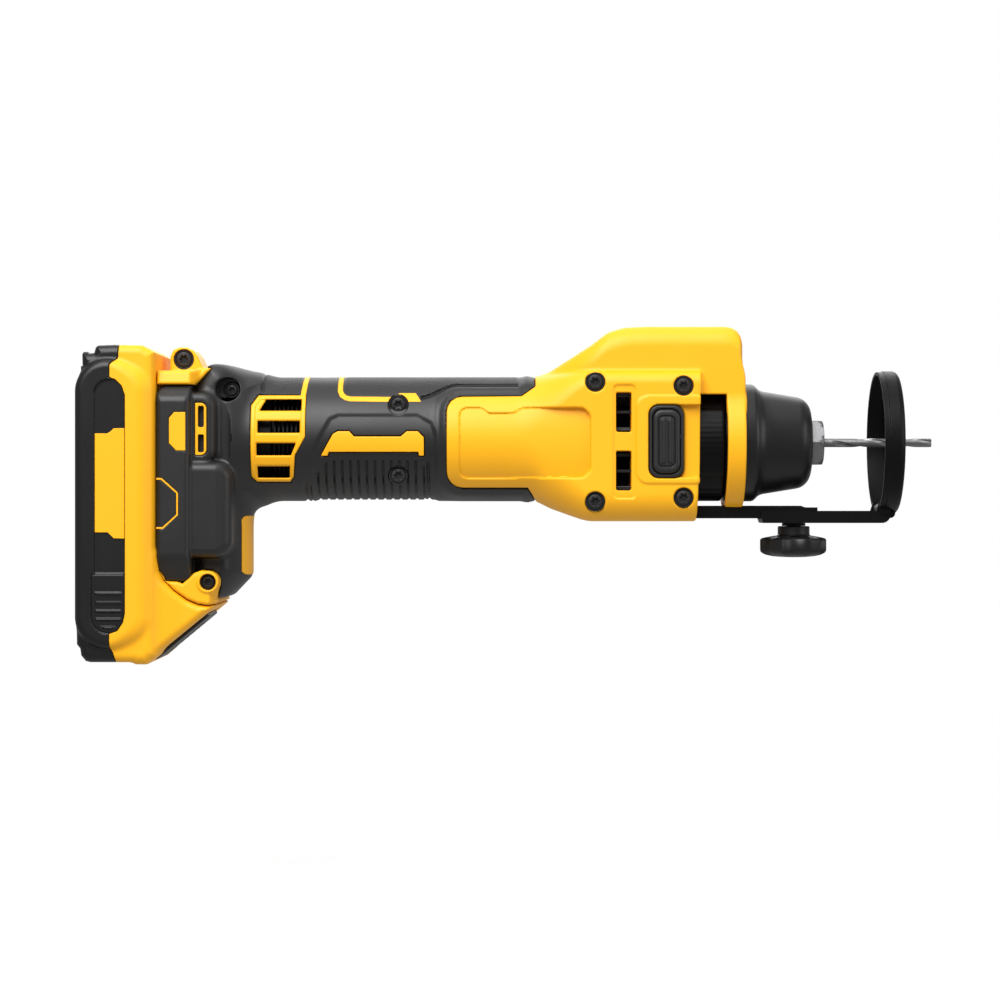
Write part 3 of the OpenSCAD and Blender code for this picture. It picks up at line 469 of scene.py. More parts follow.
def soft_rubber(name, colour, rough):
    """Overmoulded rubber: a pebbled grain on the upper grip pads, a finer one elsewhere, and a dusty
    sheen."""
    finish = Finish(name, {"Specular IOR Level": 0.45, "Sheen Weight": 0.02, "Sheen Roughness": 0.5})
    x, _, z = finish.axes()
    pebble = finish.node("ShaderNodeTexVoronoi", {"feature": "SMOOTH_F1"},
                         {"Vector": finish.place(), "Scale": 1150.0, "Smoothness": 0.6})
    edge = finish.node("ShaderNodeMapRange", {"interpolation_type": "SMOOTHSTEP"},
                       {"Value": x, "From Min": 122.0, "From Max": 136.0, "To Min": 16.4, "To Max": 21.0})
    front = (z > edge) * (x > 95.5) * (x < 157.5)
    rear = (z > 17.5) * (x > 65.5) * (x < 79.0)
    top = front + rear
    fine = finish.noise(2600, 2.0)
    dust = finish.noise(60, 4.0)
    finish.tint(dust * 0.8, colour, 0.85, 1.45)
    finish.feed("Roughness", dust * 0.16 + fine * 0.08 + (rough - 0.12) + top * 0.06)
    finish.bump(fine * 0.5 + pebble * top * 1.6, 0.10 * MM, 0.6)
    return finish.material


def ground_metal(name, colour, rough, across=(1, 1, 1), scale=700, metallic=1.0):
    """Machined or ground metal: fine tool lines in the gloss along one direction, and faint stains."""
    finish = Finish(name, {"Metallic": metallic, "Specular IOR Level": 0.3})
    lines = finish.noise(scale, 3.0, across)
    stain = finish.noise(55, 3.0)
    finish.tint(stain * 0.7 + lines * 0.3, colour, 0.82, 1.1)
    finish.feed("Roughness", lines * 0.2 + stain * 0.1 + (rough - 0.13))
    finish.bump(lines, 0.03 * MM, 0.35)
    return finish.material


def stacked_sheet(name, colour):
    """Laminated sheet: dark joints 0.5 mm apart along the spindle."""
    finish = Finish(name, {"Metallic": 0.9})
    x = finish.axes()[0]
    joint = (x * 12.566).wave() * 0.5 + 0.5
    finish.tint(joint, colour, 0.5, 1.1)
    finish.feed("Roughness", joint * 0.15 + 0.35)
    finish.bump(joint, 0.04 * MM, 0.5)
    return finish.material


def wound_wire(name, colour):
    """Enamelled copper: wires 0.7 mm apart."""
    finish = Finish(name, {"Metallic": 0.85, "Coat Weight": 0.4, "Coat Roughness": 0.2})
    _, y, z = finish.axes()
    wire = ((y + z) * 8.976).wave() * 0.5 + 0.5
    finish.tint(wire, colour, 0.45, 1.1)
    finish.feed("Roughness", wire * 0.1 + 0.28)
    finish.bump(wire, 0.2 * MM, 0.6)
    return finish.material


def clear_lens(name, colour):
    """Moulded clear lens with faint prism lines."""
    finish = Finish(name, {"Transmission Weight": 0.75, "IOR": 1.49})
    y = finish.axes()[1]
    prism = (y * 4.19).wave() * 0.5 + 0.5
    finish.tint(prism, colour, 0.9, 1.05)
    finish.feed("Roughness", prism * 0.1 + 0.12)
    finish.bump(prism, 0.12 * MM, 0.5)
    return finish.material


def printed_board(name, colour):
    """Circuit board under solder mask, with paler tracks."""
    finish = Finish(name, {"Specular IOR Level": 0.6})
    tracks = finish.node("ShaderNodeTexBrick", {},
                         {"Vector": finish.place(), "Scale": 160.0, "Mortar Size": 0.03}, 1)
    finish.tint(tracks * 0.8, colour, 0.8, 1.6)
    finish.feed("Roughness", finish.noise(200, 2.0) * 0.15 + 0.25)
    return finish.material


FINISHES = {}


def finish_of(slot):
    """The finish of one of the record's material slots, made on first use."""
    if slot not in FINISHES:
        c = bpy.context.scene.tool_colours
        FINISHES[slot] = {
            "yellow_nylon": lambda: moulded_plastic("Yellow nylon", c.yellow, 0.44, 2300, 0.05),
            "black_grip": lambda: soft_rubber("Black soft grip", c.grip, 0.45),
            "black_nylon": lambda: moulded_plastic("Black nylon", c.nylon, 0.36, 2300, 0.05, 0.35),
            "black_steel": lambda: ground_metal("Black oxide steel", c.oxide, 0.42, (1, 1, 1), 900, 0.55),
            "ground_steel": lambda: ground_metal("Ground steel", c.steel, 0.40, (6, 1, 1), 500),
            "aluminium": lambda: ground_metal("Machined aluminium", c.aluminium, 0.38, (5, 1, 1), 420),
            # The collar, recessed in the nose's window, gets the black nylon at a third of its colour: painted
            # shade
            "collar_painted_shade": lambda: moulded_plastic(
                "Collar nylon with painted shade", shade(c.nylon, 0.35), 0.40, 2300, 0.05, 0.12),
            "screw_head": lambda: ground_metal("Screw heads", shade(c.oxide, 8), 0.45, (1, 1, 1), 900, 0.4),
            # The aluminium heat sink's fins take the near-black oxide colour: painted shade behind the grille
            "fins_in_painted_shade": lambda: ground_metal("Heat sink fins in painted shade", c.oxide, 0.45, (5, 1, 1), 420, 0.5),
            "copper": lambda: wound_wire("Enamelled copper", (0.72, 0.34, 0.13)),
            "lamination": lambda: stacked_sheet("Motor sheet", (0.32, 0.33, 0.35)),
            "magnet": lambda: ground_metal("Coated magnet", (0.2, 0.2, 0.22), 0.3),
            "lens": lambda: clear_lens("Clear lens", (0.9, 0.93, 0.95)),
            "board": lambda: printed_board("Solder mask", (0.03, 0.17, 0.07)),
            "cell_wrap": lambda: moulded_plastic("Cell wrap", (0.08, 0.2, 0.4), 0.3, 900, 0.02),
            "red_lead": lambda: moulded_plastic("Lead insulation", (0.4, 0.03, 0.02), 0.4, 1500, 0.03),
        }[slot]()
    return FINISHES[slot]


def grip_radius(y, z):
    """Distance to the grip's axis."""
    return np.sqrt(y * y + (z - GRIP_Z) ** 2)


def round_grip(y, z):
    """Distance to the grip's cylinder."""
    return grip_radius(y, z) - GRIP_R


def screw_holes(d, x, z, v, screws, soft):
    """d less the holes over some screws, from under their heads outwards; v is the distance from the middle plane
    on the screws' side."""
    for centre_x, centre_z, top, head in screws:
        hole = away(x, z, centre_x, centre_z) - head - SCREW_ROOM
        d = cut(d, np.maximum(hole, top - HEAD_DEPTH - v), soft)
    return d


def rail_room(d, x, a, z):
    """d less the room of the pack's rail and of its wider head."""
    d = less(d, a - 21.4, x - 32.4, z - 20.4)
    return less(d, a - 25.4, np.abs(x - 34.3) - 3.1, z - 20.4)


def nose_form(x, y, z):
    """Outside of the nose: a section that turns from the round grip into a box with rounded corners, the
    hump that rises on it and runs down into the front ring, and the ring round the spindle."""
    a, rho = np.abs(y), np.sqrt(y * y + z * z)
    t = ease(x, 157.0, 187.0)
    side = a - (GRIP_R + 2.3 * t)
    body = np.maximum(corner(side, bent_line(x, NOSE_LOW) - z, GRIP_R - 12.2 * t),
                      corner(side, z - (24.0 + 1.3 * t), GRIP_R - 18.2 * t))
    body = corner(body, x - 223.0 - 0.03 * z, 0.9)
    hump = corner(a - (7 + 13 * ease(x, 158, 188)), 0.88 * (z - bent_line(x, NOSE_CREST, 1.2)), 6.6)
    hump = corner(np.maximum(hump, 11.0 - z), x - 239.9 + 1.7 * (a / 20) ** 2 * ease(z, 22, 32), 0.9)
    ring = corner(np.abs(rho - 23.25) - 1.45, np.abs(x - 236.5) - 3.4, 0.8)
    return join(join(body, hump, 1.6), ring, 2.2)


def nose_shell(side):
    """One half of the nose: the form with its label bay, vent channel and switch bay, hollowed for the
    motor, with vents, window, bracket slot and, on the viewer's side, the button's scoop and the screw
    holes."""
    lens_low, lens_high = box_mm("light_lens")
    lens_low, lens_high = lens_low - (2.0, 0.15, 0.15), lens_high + 0.15
    channel = bpy.context.scene.tool_sizes.bay_depth

    def field(x, y, z):
        a, rho, v = np.abs(y), np.sqrt(y * y + z * z), side * y
        d = nose_form(x, y, z)
        t = ease(x, 152.0, 184.0)
        flat = GRIP_R - LABEL_DEPTH + 45 * t
        floor = np.sqrt((a + flat - GRIP_R + LABEL_DEPTH - 0.6 * t) ** 2 + (z - GRIP_Z) ** 2) - flat
        bay = outline(x, z, softened(LABEL, 1.2).tolist())
        d = d + LABEL_DEPTH * area(bay, 0.9)
        d = cut(d, np.maximum(bay, -floor), 0.9)
        d = d + channel * area(window(x, z, 192.0, 200.0, -20.5, 20.3, 1.6), 0.9)
        if side < 0:
            d = d - 0.55 * area(window(x, z, 200.2, 226, -15.2, 16.5, 4.5), 1.0)
            scoop = window(x, z, 205.2, 227, -12.9, 13.1, 4.0)
            d = cut(d, np.maximum(scoop, 24.0 - 0.1 * (x - 207) - v), 0.6)
            d = cut(d, np.maximum(window(x, z, 204.5, 217.5, -13.3, 13.3, 3.8), 19.4 - v), 0.4)
            d = less(d, window(x, z, 205.7, 216.5, -11.9, 12.4, 3.2), 15 - v)
            d = screw_holes(d, x, z, v, SCREWS[:4], 0.5)
        d = less(d, window(x, np.abs(z), 192.95, 198.45, 3.4, 17.6, 0.7), 3 - a)
        bore = np.sqrt(y * y + (z - GRIP_Z * (1 - t)) ** 2) - (20.6 - 2.7 * ease(x, 158, 172))
        d = less(d, bore, x - 222.0)
        d = less(d, rho - 21.8, 220.8 - x)
        d = cut(d, np.maximum(np.abs(x - 228.2) - 4.9, z - 17.2), 0.5)
        d = less(d, window(y, z, -7.1, 7.1, -27.85, -23.0, 0.2), 209.0 - x)
        d = less(d, window(y, z, lens_low[1], lens_high[1], lens_low[2], lens_high[2], 0.6), lens_low[0] - x)
        d = corner(d, outline(x, z, TONGUE), 0.35)
        return half_of(d, y, side)

    return field


def foot_frame(x, y, z):
    """Yellow frame of the foot: the band over the pack, the ear with its screw and the toe with its screw
    boss."""
    a = np.abs(y)
    band = corner(outline(x, z, BAND), a - 29.5 + 0.3 * (z - 22) + 6.5 * ease(x, 40, 44), 1.2)
    ear = corner(outline(x, z, EAR), a - 12, 1.5)
    toe = corner(outline(x, z, TOE), a - 30 + 10 * ease(x, 47, 52), 1.2)
    boss = corner(away(x, z, 47.0, -50.3) - 3.9, a - 30.6, 0.6)
    return join(join(band, ear, 1.5), join(toe, boss, 0.8), 0.3)


def frame_shell(side):
    """One half of the foot's yellow frame with its screw holes and the room of the pack's rail."""

    def field(x, y, z):
        d = foot_frame(x, y, z)
        if side < 0:
            d = screw_holes(d, x, z, side * y, SCREWS[7:], 0.4)
        return half_of(rail_room(d, x, np.abs(y), z), y, side)

    return field


def grip_form(x, y, z):
    """Outside of the black skin: round grip, neck, side panel of the foot, shoulder plate and side bumper,
    blended."""
    a = np.abs(y)
    handle = np.maximum(round_grip(y, z), 56 - x)
    side = a - 22.5 + 5 * ease(x, 50, 65)
    neck = corner(outline(x, z, softened(NECK, 1.5).tolist()), side, 6.5 + 9 * ease(x, 46, 62))
    panel = corner(outline(x, z, PANEL), a - 33, 2.2)
    panel = corner(panel, ((a - 33) + (z - 15.2)) / 1.414, 1.0)
    panel = corner(panel, ((a - 33) - 0.5 * (z + 42)) / 1.12, 1.0)
    plate = corner(window(x, z, 36, 49.4, -8, 17.4, 5.0), a - 29.2, 2.4)
    bumper = corner(window(x, z, 36, 55.4, -41.5, -7.4, 6.0), a - 31 + 0.18 * np.maximum(x - 50, 0), 3.2)
    d = join(join(handle, neck, 7.0), plate, 3.0)
    return join(join(d, bumper, 1.8), panel, 1.2)


def shoulder_slots(x, z):
    """The two slots in the shoulder's window."""
    return np.minimum(window(x, z, 43.4, 45.5, 5.0, 12.6, 0.6), window(x, z, 43.4, 45.5, -4.0, 2.4, 0.5))


def grip_shell(side):
    """One half of the black skin: the form with ribs, pads and grooves on the grip, hollow for the tube,
    and cut round the yellow pieces, the screws and the pack's rail."""
    sizes = bpy.context.scene.tool_sizes
    below_toe = TOE_EDGE + [(49.9, -90), (20, -90), (20, -42.3)]

    def field(x, y, z):
        a, v = np.abs(y), side * y
        d = grip_form(x, y, z)
        on_grip = ease(x, 70, 80)
        d = d + 0.5 * area(outline(x, z, CONTOUR), 2.0) * on_grip
        ribs = groove(comb(x, 82.55, sizes.rib_pitch), 0.42)
        d = d + sizes.rib_depth * ribs * area(outline(x, z, RIBS), 0.8)
        d = d + 0.7 * groove(x - 125.4, 0.6) * ease(-z, 4, 9)
        d = d + 0.7 * groove(x - 80.8, 0.6) * ease(-z, 13, 17)
        line = 15.8 + 4.6 * ease(x, 122, 136)
        d = d + 0.8 * area(np.maximum(np.abs(z - line) - 0.5, np.abs(x - 140.2) - 17.3), 0.9)
        d = d - 0.1 * area(np.maximum(line + 0.75 - z, np.abs(x - 126.5) - 31.0), 0.7)
        d = d + 0.5 * groove(x - 65.4, 0.5) * ease(z, 17, 19)
        tongue = outline(x, z, TONGUE)
        d = d - 0.5 * groove(tongue - 3.0, 1.5) * (tongue > 0)
        d = d + 0.5 * area(outline(x, z, PLAQUE) - 0.25, 0.4) * on_grip
        d = less(d, grip_radius(y, z) - 20.9, 43.8 - x)
        d = less(d, outline(x, z, GRILLE) - 0.12, 12 - a)
        d = np.maximum(d, 0.14 - tongue)
        d = less(d, foot_frame(x, y, z) - 0.15)
        d = less(d, outline(x, z, below_toe))
        d = np.maximum(d, x - 166)
        d = cut(d, np.maximum(outline(x, z, PANEL_WINDOW), 32.4 - a), 0.3)
        d = cut(d, np.maximum(outline(x, z, HALF_HEX, False) - 0.35, 32.6 - a), 0.3)
        bend = np.where(x > 44.4, 2.2, 0.4)
        d = cut(d, np.maximum(window(x, z, 42.3, 46.5, -5.1, 13.8, bend), 28.2 - a), 0.3)
        d = less(d, shoulder_slots(x, z), 26.0 - a)
        if side < 0:
            d = screw_holes(d, x, z, v, SCREWS[4:7], 0.6)
            d = cut(d, np.maximum(away(x, z, 53.2, 18.8) - 4.3, 15.5 - v), 0.6)
        return half_of(rail_room(d, x, a, z), y, side)

    return field


def grille(side):
    """Yellow grille in the grip: a slice of the grip's wall inside its outline, with a raised frame and
    four slots between rounded bars."""

    def field(x, y, z):
        edge = outline(x, z, GRILLE)
        d = corner(edge, np.abs(round_grip(y, z) + 1.0) - 1.2 + 0.3 * area(edge + 1.5, 0.5), 0.35)
        for slot in GRILLE_SLOTS:
            d = cut(d, outline(x, z, slot) - 0.25, 0.9)
        return np.maximum(d, -side * y)

    return field


def sleeve(x, y, z):
    """Inner tube of the grip in black, open behind the grille on both sides: painted shade seen through the
    grille, where the real tube is yellow.
    """
    d = np.maximum(np.abs(grip_radius(y, z) - 19.75) - 0.85, np.abs(x - 114) - 52)
    return less(d, outline(x, z, GRILLE) + 1.0, 8 - np.abs(y))


def cooling_fins(x, y, z):
    """Heat sink behind the grille: round fins 1.55 mm apart on a core, in front of a solid block; its piece gets
    a near-black finish over the aluminium as painted shade.
    """
    r = grip_radius(y, z)
    fins = np.maximum(comb(x, 69.9, 1.55) - 0.42, np.abs(x - 74.5) - 5.5)
    block = np.maximum(np.abs(x - 65.2) - 3.2, r - 17.2)
    solid = np.minimum(np.minimum(fins, block), r - 13)
    return np.maximum(solid, np.maximum(r - 18.4, np.abs(x - 71.6) - 9.6))


def stripes(side):
    """Yellow lines let into the grip: one over the grip at the grille, and one that turns along it past a
    screw to a short wedge."""
    bent = [(93.7, 40), (93.4, 20.5), (93.5, 18.4), (94.2, 16.9), (95.5, 15.9), (97.2, 15.45), (114.6, 15.3)]

    def field(x, y, z):
        first = np.maximum(np.abs(x - 80.2 - 0.10 * (z - 17)) - 0.95, 16 - z)
        second = outline(x, z, bent, False) - 0.95
        wedge = outline(x, z, [(114.6, 17.8), (120.9, 17.8), (122.9, 14.4), (114.6, 14.4)])
        flat = np.minimum(np.minimum(first, second), wedge)
        if side < 0:
            flat = np.maximum(flat, 3.75 - away(x, z, 114.6, 13.4))
        return np.maximum(corner(flat, np.abs(round_grip(y, z) + 0.3) - 0.42, 0.15), -side * y)

    return field


def plaque(x, y, z):
    """Bare plaque let into the grip."""
    return corner(outline(x, z, PLAQUE), np.abs(round_grip(y, z) + 0.25) - 0.45, 0.2)


def panel_window(x, y, z):
    """Yellow field in the foot's side panel."""
    return corner(outline(x, z, PANEL_WINDOW) + 0.1, np.abs(np.abs(y) - 32.5) - 0.35, 0.15)


def panel_line(x, y, z):
    """Yellow half hexagon drawn on the foot's side panel."""
    line = corner(outline(x, z, HALF_HEX, False) - 0.33, np.abs(np.abs(y) - 32.6) - 0.32, 0.1)
    return np.maximum(line, 29.0 - x)


def shoulder_window(x, y, z):
    """Yellow field in the shoulder plate round its two slots."""
    field = window(x, z, 42.4, 46.4, -5.0, 13.7, np.where(x > 44.4, 2.1, 0.4))
    return less(corner(field, np.abs(np.abs(y) - 28.6) - 0.6, 0.2), shoulder_slots(x, z))


def neck_plate(x, y, z):
    """Yellow plate on the front of the neck: a thin layer over the skin's form."""
    skin = grip_form(x, y, z)
    return corner(np.maximum(skin - 0.25, -1.0 - skin), window(x, z, 57.5, 80, -48.2, -26.7, 2.0), 0.2)


def pack_label(x, y, z):
    """Bare label on the pack's side."""
    return corner(outline(x, z, STICKER), np.abs(np.abs(y) - 36.75) - 0.28, 0.1)


def pack_form(x, y, z):
    """Outside of the battery pack: a block with rounded edges, the release tower, the raised side frames
    and the rail."""
    a = np.abs(y)
    block = corner(outline(x, z, PACK), a - 34.6, 3.2)
    block = np.maximum(block, corner(x - 28.4, a - 36.4, 6.0))
    tower = corner(outline(x, z, TOWER), a - 30 - 2.5 * ease(-x, -40, -27) + 10 * ease(x, 47, 52), 2.6)
    frame_side = corner(window(x, z, 0.3, 28.2, -73.9, 29.0, 11.5), a - 37.4, 3.0 + 4.0 * ease(x, 12, 21))
    rail = np.minimum(window(x, a, 20, 31.6, -21, 21, 0.3), window(x, a, 31.6, 37, -25, 25, 0.3))
    rail = np.maximum(rail, np.maximum(z - 20, -58 - z))
    return np.minimum(join(join(block, tower, 3.5), frame_side, 1.2), rail)


def tray(x, y, z):
    """Black tray: the part of the pack behind the parting line, with the label bay and the ridged side
    grips."""
    a = np.abs(y)
    d = pack_form(x, y, z)
    side = ease(a, 28, 32)
    d = d + 0.9 * area(window(x, z, 7.5, 34, -46.9, 21.7, np.where(z > 0, 5.0, 0.6)), 0.6) * side
    grip = window(x, z, 6.3, 18.8, -68.2, -47.3, np.where(z > -57.7, 1.5, 6.0))
    ridge = area(comb(z, -54.3, 2.98) - 0.42, 0.4) * area(grip + 1.6, 0.4) * (z < -53)
    d = d + (0.35 * area(np.abs(grip) - 0.3, 0.4) + 0.1 * area(grip) - 0.5 * ridge) * side
    return corner(d, outline(x, z, TRAY), 0.3)


def cover(x, y, z):
    """Yellow cover: the part of the pack in front of the parting line, with the contact slots, the bay of
    the release button and the seat of the charge gauge."""
    a = np.abs(y)
    d = np.maximum(pack_form(x, y, z), -outline(x, z, TRAY) + 0.12)
    for place in (7.0, 15.0):
        d = less(d, np.abs(a - place) - 1.0, 31.9 - x, 5 - z)
    s, n = on_slope(x, z)
    d = less(d, window(s, y, -32.6, -6.6, -16.4, 16.4, 2.4), np.abs(n) - 4.5)
    gauge_low = box_mm("gauge_panel")[0]
    return less(d, np.abs(x - 20) - 3.1, a - 8.6, gauge_low[2] - 0.1 - z)


def on_slope(x, z):
    """Place along the tower's slope, from its upper edge, and depth into the tower, from a point's x and
    z."""
    angle = np.arctan2(78.8 - 57.4, 25.8)
    u, w = x - 50.8, z + 57.4
    return u * np.cos(angle) + w * np.sin(angle), -u * np.sin(angle) + w * np.cos(angle)


def release_pad(x, y, z):
    """Release button in the tower's slope: a rounded pad with finger ridges across it."""
    s, n = on_slope(x, z)
    ridge = area(comb(s, -26, 2.6) - 0.45, 0.5)
    top = -1.3 + 0.5 * ridge * (np.abs(y) < 12) * (s < -12) * (s > -30)
    return corner(window(s, y, -32.2, -7.0, -16, 16, 2.2), np.maximum(top - n, n - 1.0), 0.6)


def power_button(x, y, z):
    """Power button: a rounded slab with a grooved pad and two ribs on its face."""
    d = corner(window(x, z, 206.1, 215.95, -11.6, 11.6, 3.4), -25.8 - y, 1.3)
    d = d + 0.5 * area(np.abs(window(x, z, 208.2, 213.9, -9.0, 9.0, 1.6)) - 0.25, 0.35)
    for rib in (209.9, 212.2):
        d = d - 0.5 * area(window(x, z, rib - 0.55, rib + 0.55, -7.9, 7.9, 0.5), 0.5)
    return np.maximum(d, y + 21)


def button_boot(x, y, z):
    """Rubber frame round the power button."""
    d = corner(window(x, z, 204.75, 217.25, -13.1, 13.1, 3.6), -25.2 - y, 0.7)
    return np.maximum(np.maximum(d, -window(x, z, 205.8, 216.2, -11.9, 11.9, 3.6)), y + 22)


def guide_ring(x, y, z):
    """Guide ring: a stepped rim turned about the spindle with an inner lip at the front, cut at the arm,
    and the lug that the arm carries."""
    a, rho = np.abs(y), np.sqrt(y * y + z * z)
    rim = [(289.4, 24.7), (289.4, 26.0), (291.3, 26.0), (291.5, 26.3), (295.2, 26.3), (296.2, 25.8),
           (296.75, 25.1), (296.9, 24.4), (296.9, 21.8), (295.5, 21.8), (295.5, 24.7)]
    d = less(outline(x, rho, rim), x - 294.0, a - 10.0, z + 15)
    lug = corner(window(x, z, 289.4, 295.6, -27.6, -22.4, 1.8), a - 7.2, 0.4)
    return less(np.minimum(d, lug), away(x, z, 291.5, -24.4) - 1.2)


def colour_setting(name, description, default):
    """Property that holds the base colour of a finish."""
    return FloatVectorProperty(name=name, description=description, default=default, subtype="COLOR", size=3,
                               min=0, max=1)


def number_setting(name, description, default, low, high, **kind):
    """Property that holds a number between two limits; kind may give its unit and subtype."""
    return FloatProperty(name=name, description=description, default=default, min=low, max=high, **kind)


class ToolColours(PropertyGroup):
    """Base colours of the main finishes."""

    yellow: colour_setting("Yellow nylon", "Housing, frame and battery cover", (0.92, 0.435, 0.008))
    grip: colour_setting("Soft grip", "Black skin of grip and foot", (0.0065, 0.0065, 0.0068))
    nylon: colour_setting("Black nylon", "Tray, nose cone, collar and knob", (0.0055, 0.0055, 0.0057))
    oxide: colour_setting("Black oxide", "Screws and depth guide", (0.003, 0.003, 0.0031))
    steel: colour_setting("Ground steel", "Collet nut and bit", (0.22, 0.22, 0.225))
    aluminium: colour_setting("Aluminium", "Heat sink and bearing carrier", (0.66, 0.67, 0.69))


class ToolSizes(PropertyGroup):
    """Sizes of the surface features, in millimetres."""

    shell_pitch: number_setting("Shell mesh", "Grid of the moulded shells in mm", 0.61, 0.4, 2)
    trim_pitch: number_setting("Trim mesh", "Grid of the small trims in mm", 0.34, 0.2, 1)
    rib_pitch: number_setting("Rib pitch", "Distance between the grip's ribs in mm", 2.95, 2, 5)
    rib_depth: number_setting("Rib depth", "Depth of the grooves between ribs in mm", 0.55, 0, 1.2)
    bay_depth: number_setting("Vent channel", "Depth of the channel round the vents in mm", 0.55, 0, 1)
    flutes: IntProperty(name="Flutes", description="Flutes of the cutting bit", default=2, min=1, max=4)
    flute_lead: number_setting("Flute lead", "Length of one turn of the flutes in mm", 35, 6, 40)


class StudioSettings(PropertyGroup):
    """Camera and light of the studio."""

    lens: number_setting("Lens", "Focal length", 100.9, 20, 300, unit="CAMERA")
    distance: number_setting("Distance", "Camera to the tool's middle plane", 1.03, 0.3, 5, unit="LENGTH",
                             subtype="DISTANCE")
    key: number_setting("Key light", "Power of the front soft box", 20.0, 0, 100, unit="POWER")
    top: number_setting("Top light", "Power of the overhead soft box", 4.5, 0, 100, unit="POWER")
    ambient: number_setting("Ambient", "Light from the pale room", 0.36, 0, 2)


class TOOL_OT_studio(Operator):
    """Camera at the photographed side, soft boxes, a pale room and a pale floor that fades out"""

    bl_idname = "cutout.studio"
    bl_label = "Studio"

    def execute(self, context):
        scene, studio = context.scene, context.scene.tool_studio
        scene.view_settings.view_transform = "Standard"
        camera = bpy.data.objects.new("Camera", bpy.data.cameras.new("Camera"))
        camera.data.lens, camera.data.sensor_width = studio.lens, 36.0
        camera.location = (0.1513, -studio.distance, -0.021)
        camera.rotation_euler = (np.pi / 2, 0, 0)
        camera.data.clip_start = 0.01
        scene.collection.objects.link(camera)
        scene.camera = camera
        for name, place, aim, size, power in (
                ("Front soft box", (-0.15, -0.80, 0.80), (0.14, 0, 0), 0.9, studio.key),
                ("Top soft box", (0.16, -0.12, 0.95), (0.15, 0, 0), 1.1, studio.top),
                ("Back soft box", (0.2, 0.95, 0.55), (0.14, 0, 0), 0.9, 0.25 * studio.key),
                ("End soft box", (1.05, -0.35, 0.25), (0.2, 0, 0), 0.6, 0.13 * studio.key)):
            light = bpy.data.objects.new(name, bpy.data.lights.new(name, "AREA"))
            light.data.size, light.data.energy = size, power
            light.location = place
            light.rotation_euler = (Vector(aim) - Vector(place)).to_track_quat("-Z", "Y").to_euler()
            scene.collection.objects.link(light)
        world = bpy.data.worlds.new("Pale room")
        world.use_nodes = True
        tree = world.node_tree
        seen, lit = tree.nodes["Background"], tree.nodes.new("ShaderNodeBackground")
        seen.inputs[0].default_value, seen.inputs[1].default_value = (1, 1, 1, 1), 1.0
        lit.inputs[0].default_value, lit.inputs[1].default_value = (1, 0.99, 0.98, 1), studio.ambient
        path, mix = tree.nodes.new("ShaderNodeLightPath"), tree.nodes.new("ShaderNodeMixShader")
        tree.links.new(path.outputs["Is Camera Ray"], mix.inputs[0])
        tree.links.new(lit.outputs[0], mix.inputs[1])
        tree.links.new(seen.outputs[0], mix.inputs[2])
        tree.links.new(mix.outputs[0], tree.nodes["World Output"].inputs[0])
        scene.world = world
        finish = Finish("Pale floor", {"Roughness": 0.9, "Specular IOR Level": 0.1})
        x, y, _ = finish.axes()
        reach = ((x - 150) * (x - 150) + y * y).power(0.5)
        limits = {"From Min": 60.0, "From Max": 350.0, "To Min": 0.3, "To Max": 0.0}
        fade = finish.node("ShaderNodeMapRange", {"interpolation_type": "SMOOTHSTEP"},
                           {"Value": reach, **limits})
        finish.feed("Alpha", fade)
        cloud = finish.noise(30, 3.0)
        finish.feed("Base Color", finish.blend(cloud, (0.93, 0.93, 0.93, 1), (0.96, 0.96, 0.96, 1)))
        rings, spokes = 12, 64
        radius = np.linspace(0.001, 0.7, rings)[:, None]
        angle = np.linspace(0, 2 * np.pi, spokes, endpoint=False)[None, :]
        level = CAD_BOX[0][2] - FLOOR_DROP
        height = level + 0 * radius * angle
        points = np.stack([0.15 + radius * np.cos(angle), radius * np.sin(angle), height], -1)
        mesh = bpy.data.meshes.new("Floor")
        faces = grid_faces(rings, spokes, False, True)[:, ::-1]
        mesh.from_pydata(points.reshape(-1, 3).tolist(), [], faces.tolist())
        mesh.materials.append(finish.material)
        floor = bpy.data.objects.new("Floor", mesh)
        scene.collection.objects.link(floor)
        return {"FINISHED"}


class TOOL_OT_node_finishes(Operator):
    """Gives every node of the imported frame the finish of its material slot"""

    bl_idname = "cutout.node_finishes"
    bl_label = "Frame finishes"

    def execute(self, context):
        slots = {part["node"]: part["material_slot"] for part in frame["record"]["subparts"]}
        for name, thing in frame["nodes"].items():
            finish = finish_of(slots[name])
            if not thing.material_slots:
                thing.data.materials.append(finish)
            for place in thing.material_slots:
                place.material = finish
        return {"FINISHED"}


class TOOL_OT_nose(Operator):
    """Two moulded halves of the yellow nose with label bay, vents, switch bay, window and front ring"""

    bl_idname = "cutout.nose"
    bl_label = "Nose housing"

    def execute(self, context):
        pitch = 0.84 * context.scene.tool_sizes.shell_pitch
        mouldings("nose", nose_shell, (131, -0.2, -30), (241, 26.6, 43), pitch, "tool_body", "yellow_nylon",
                  "housing")
        return {"FINISHED"}


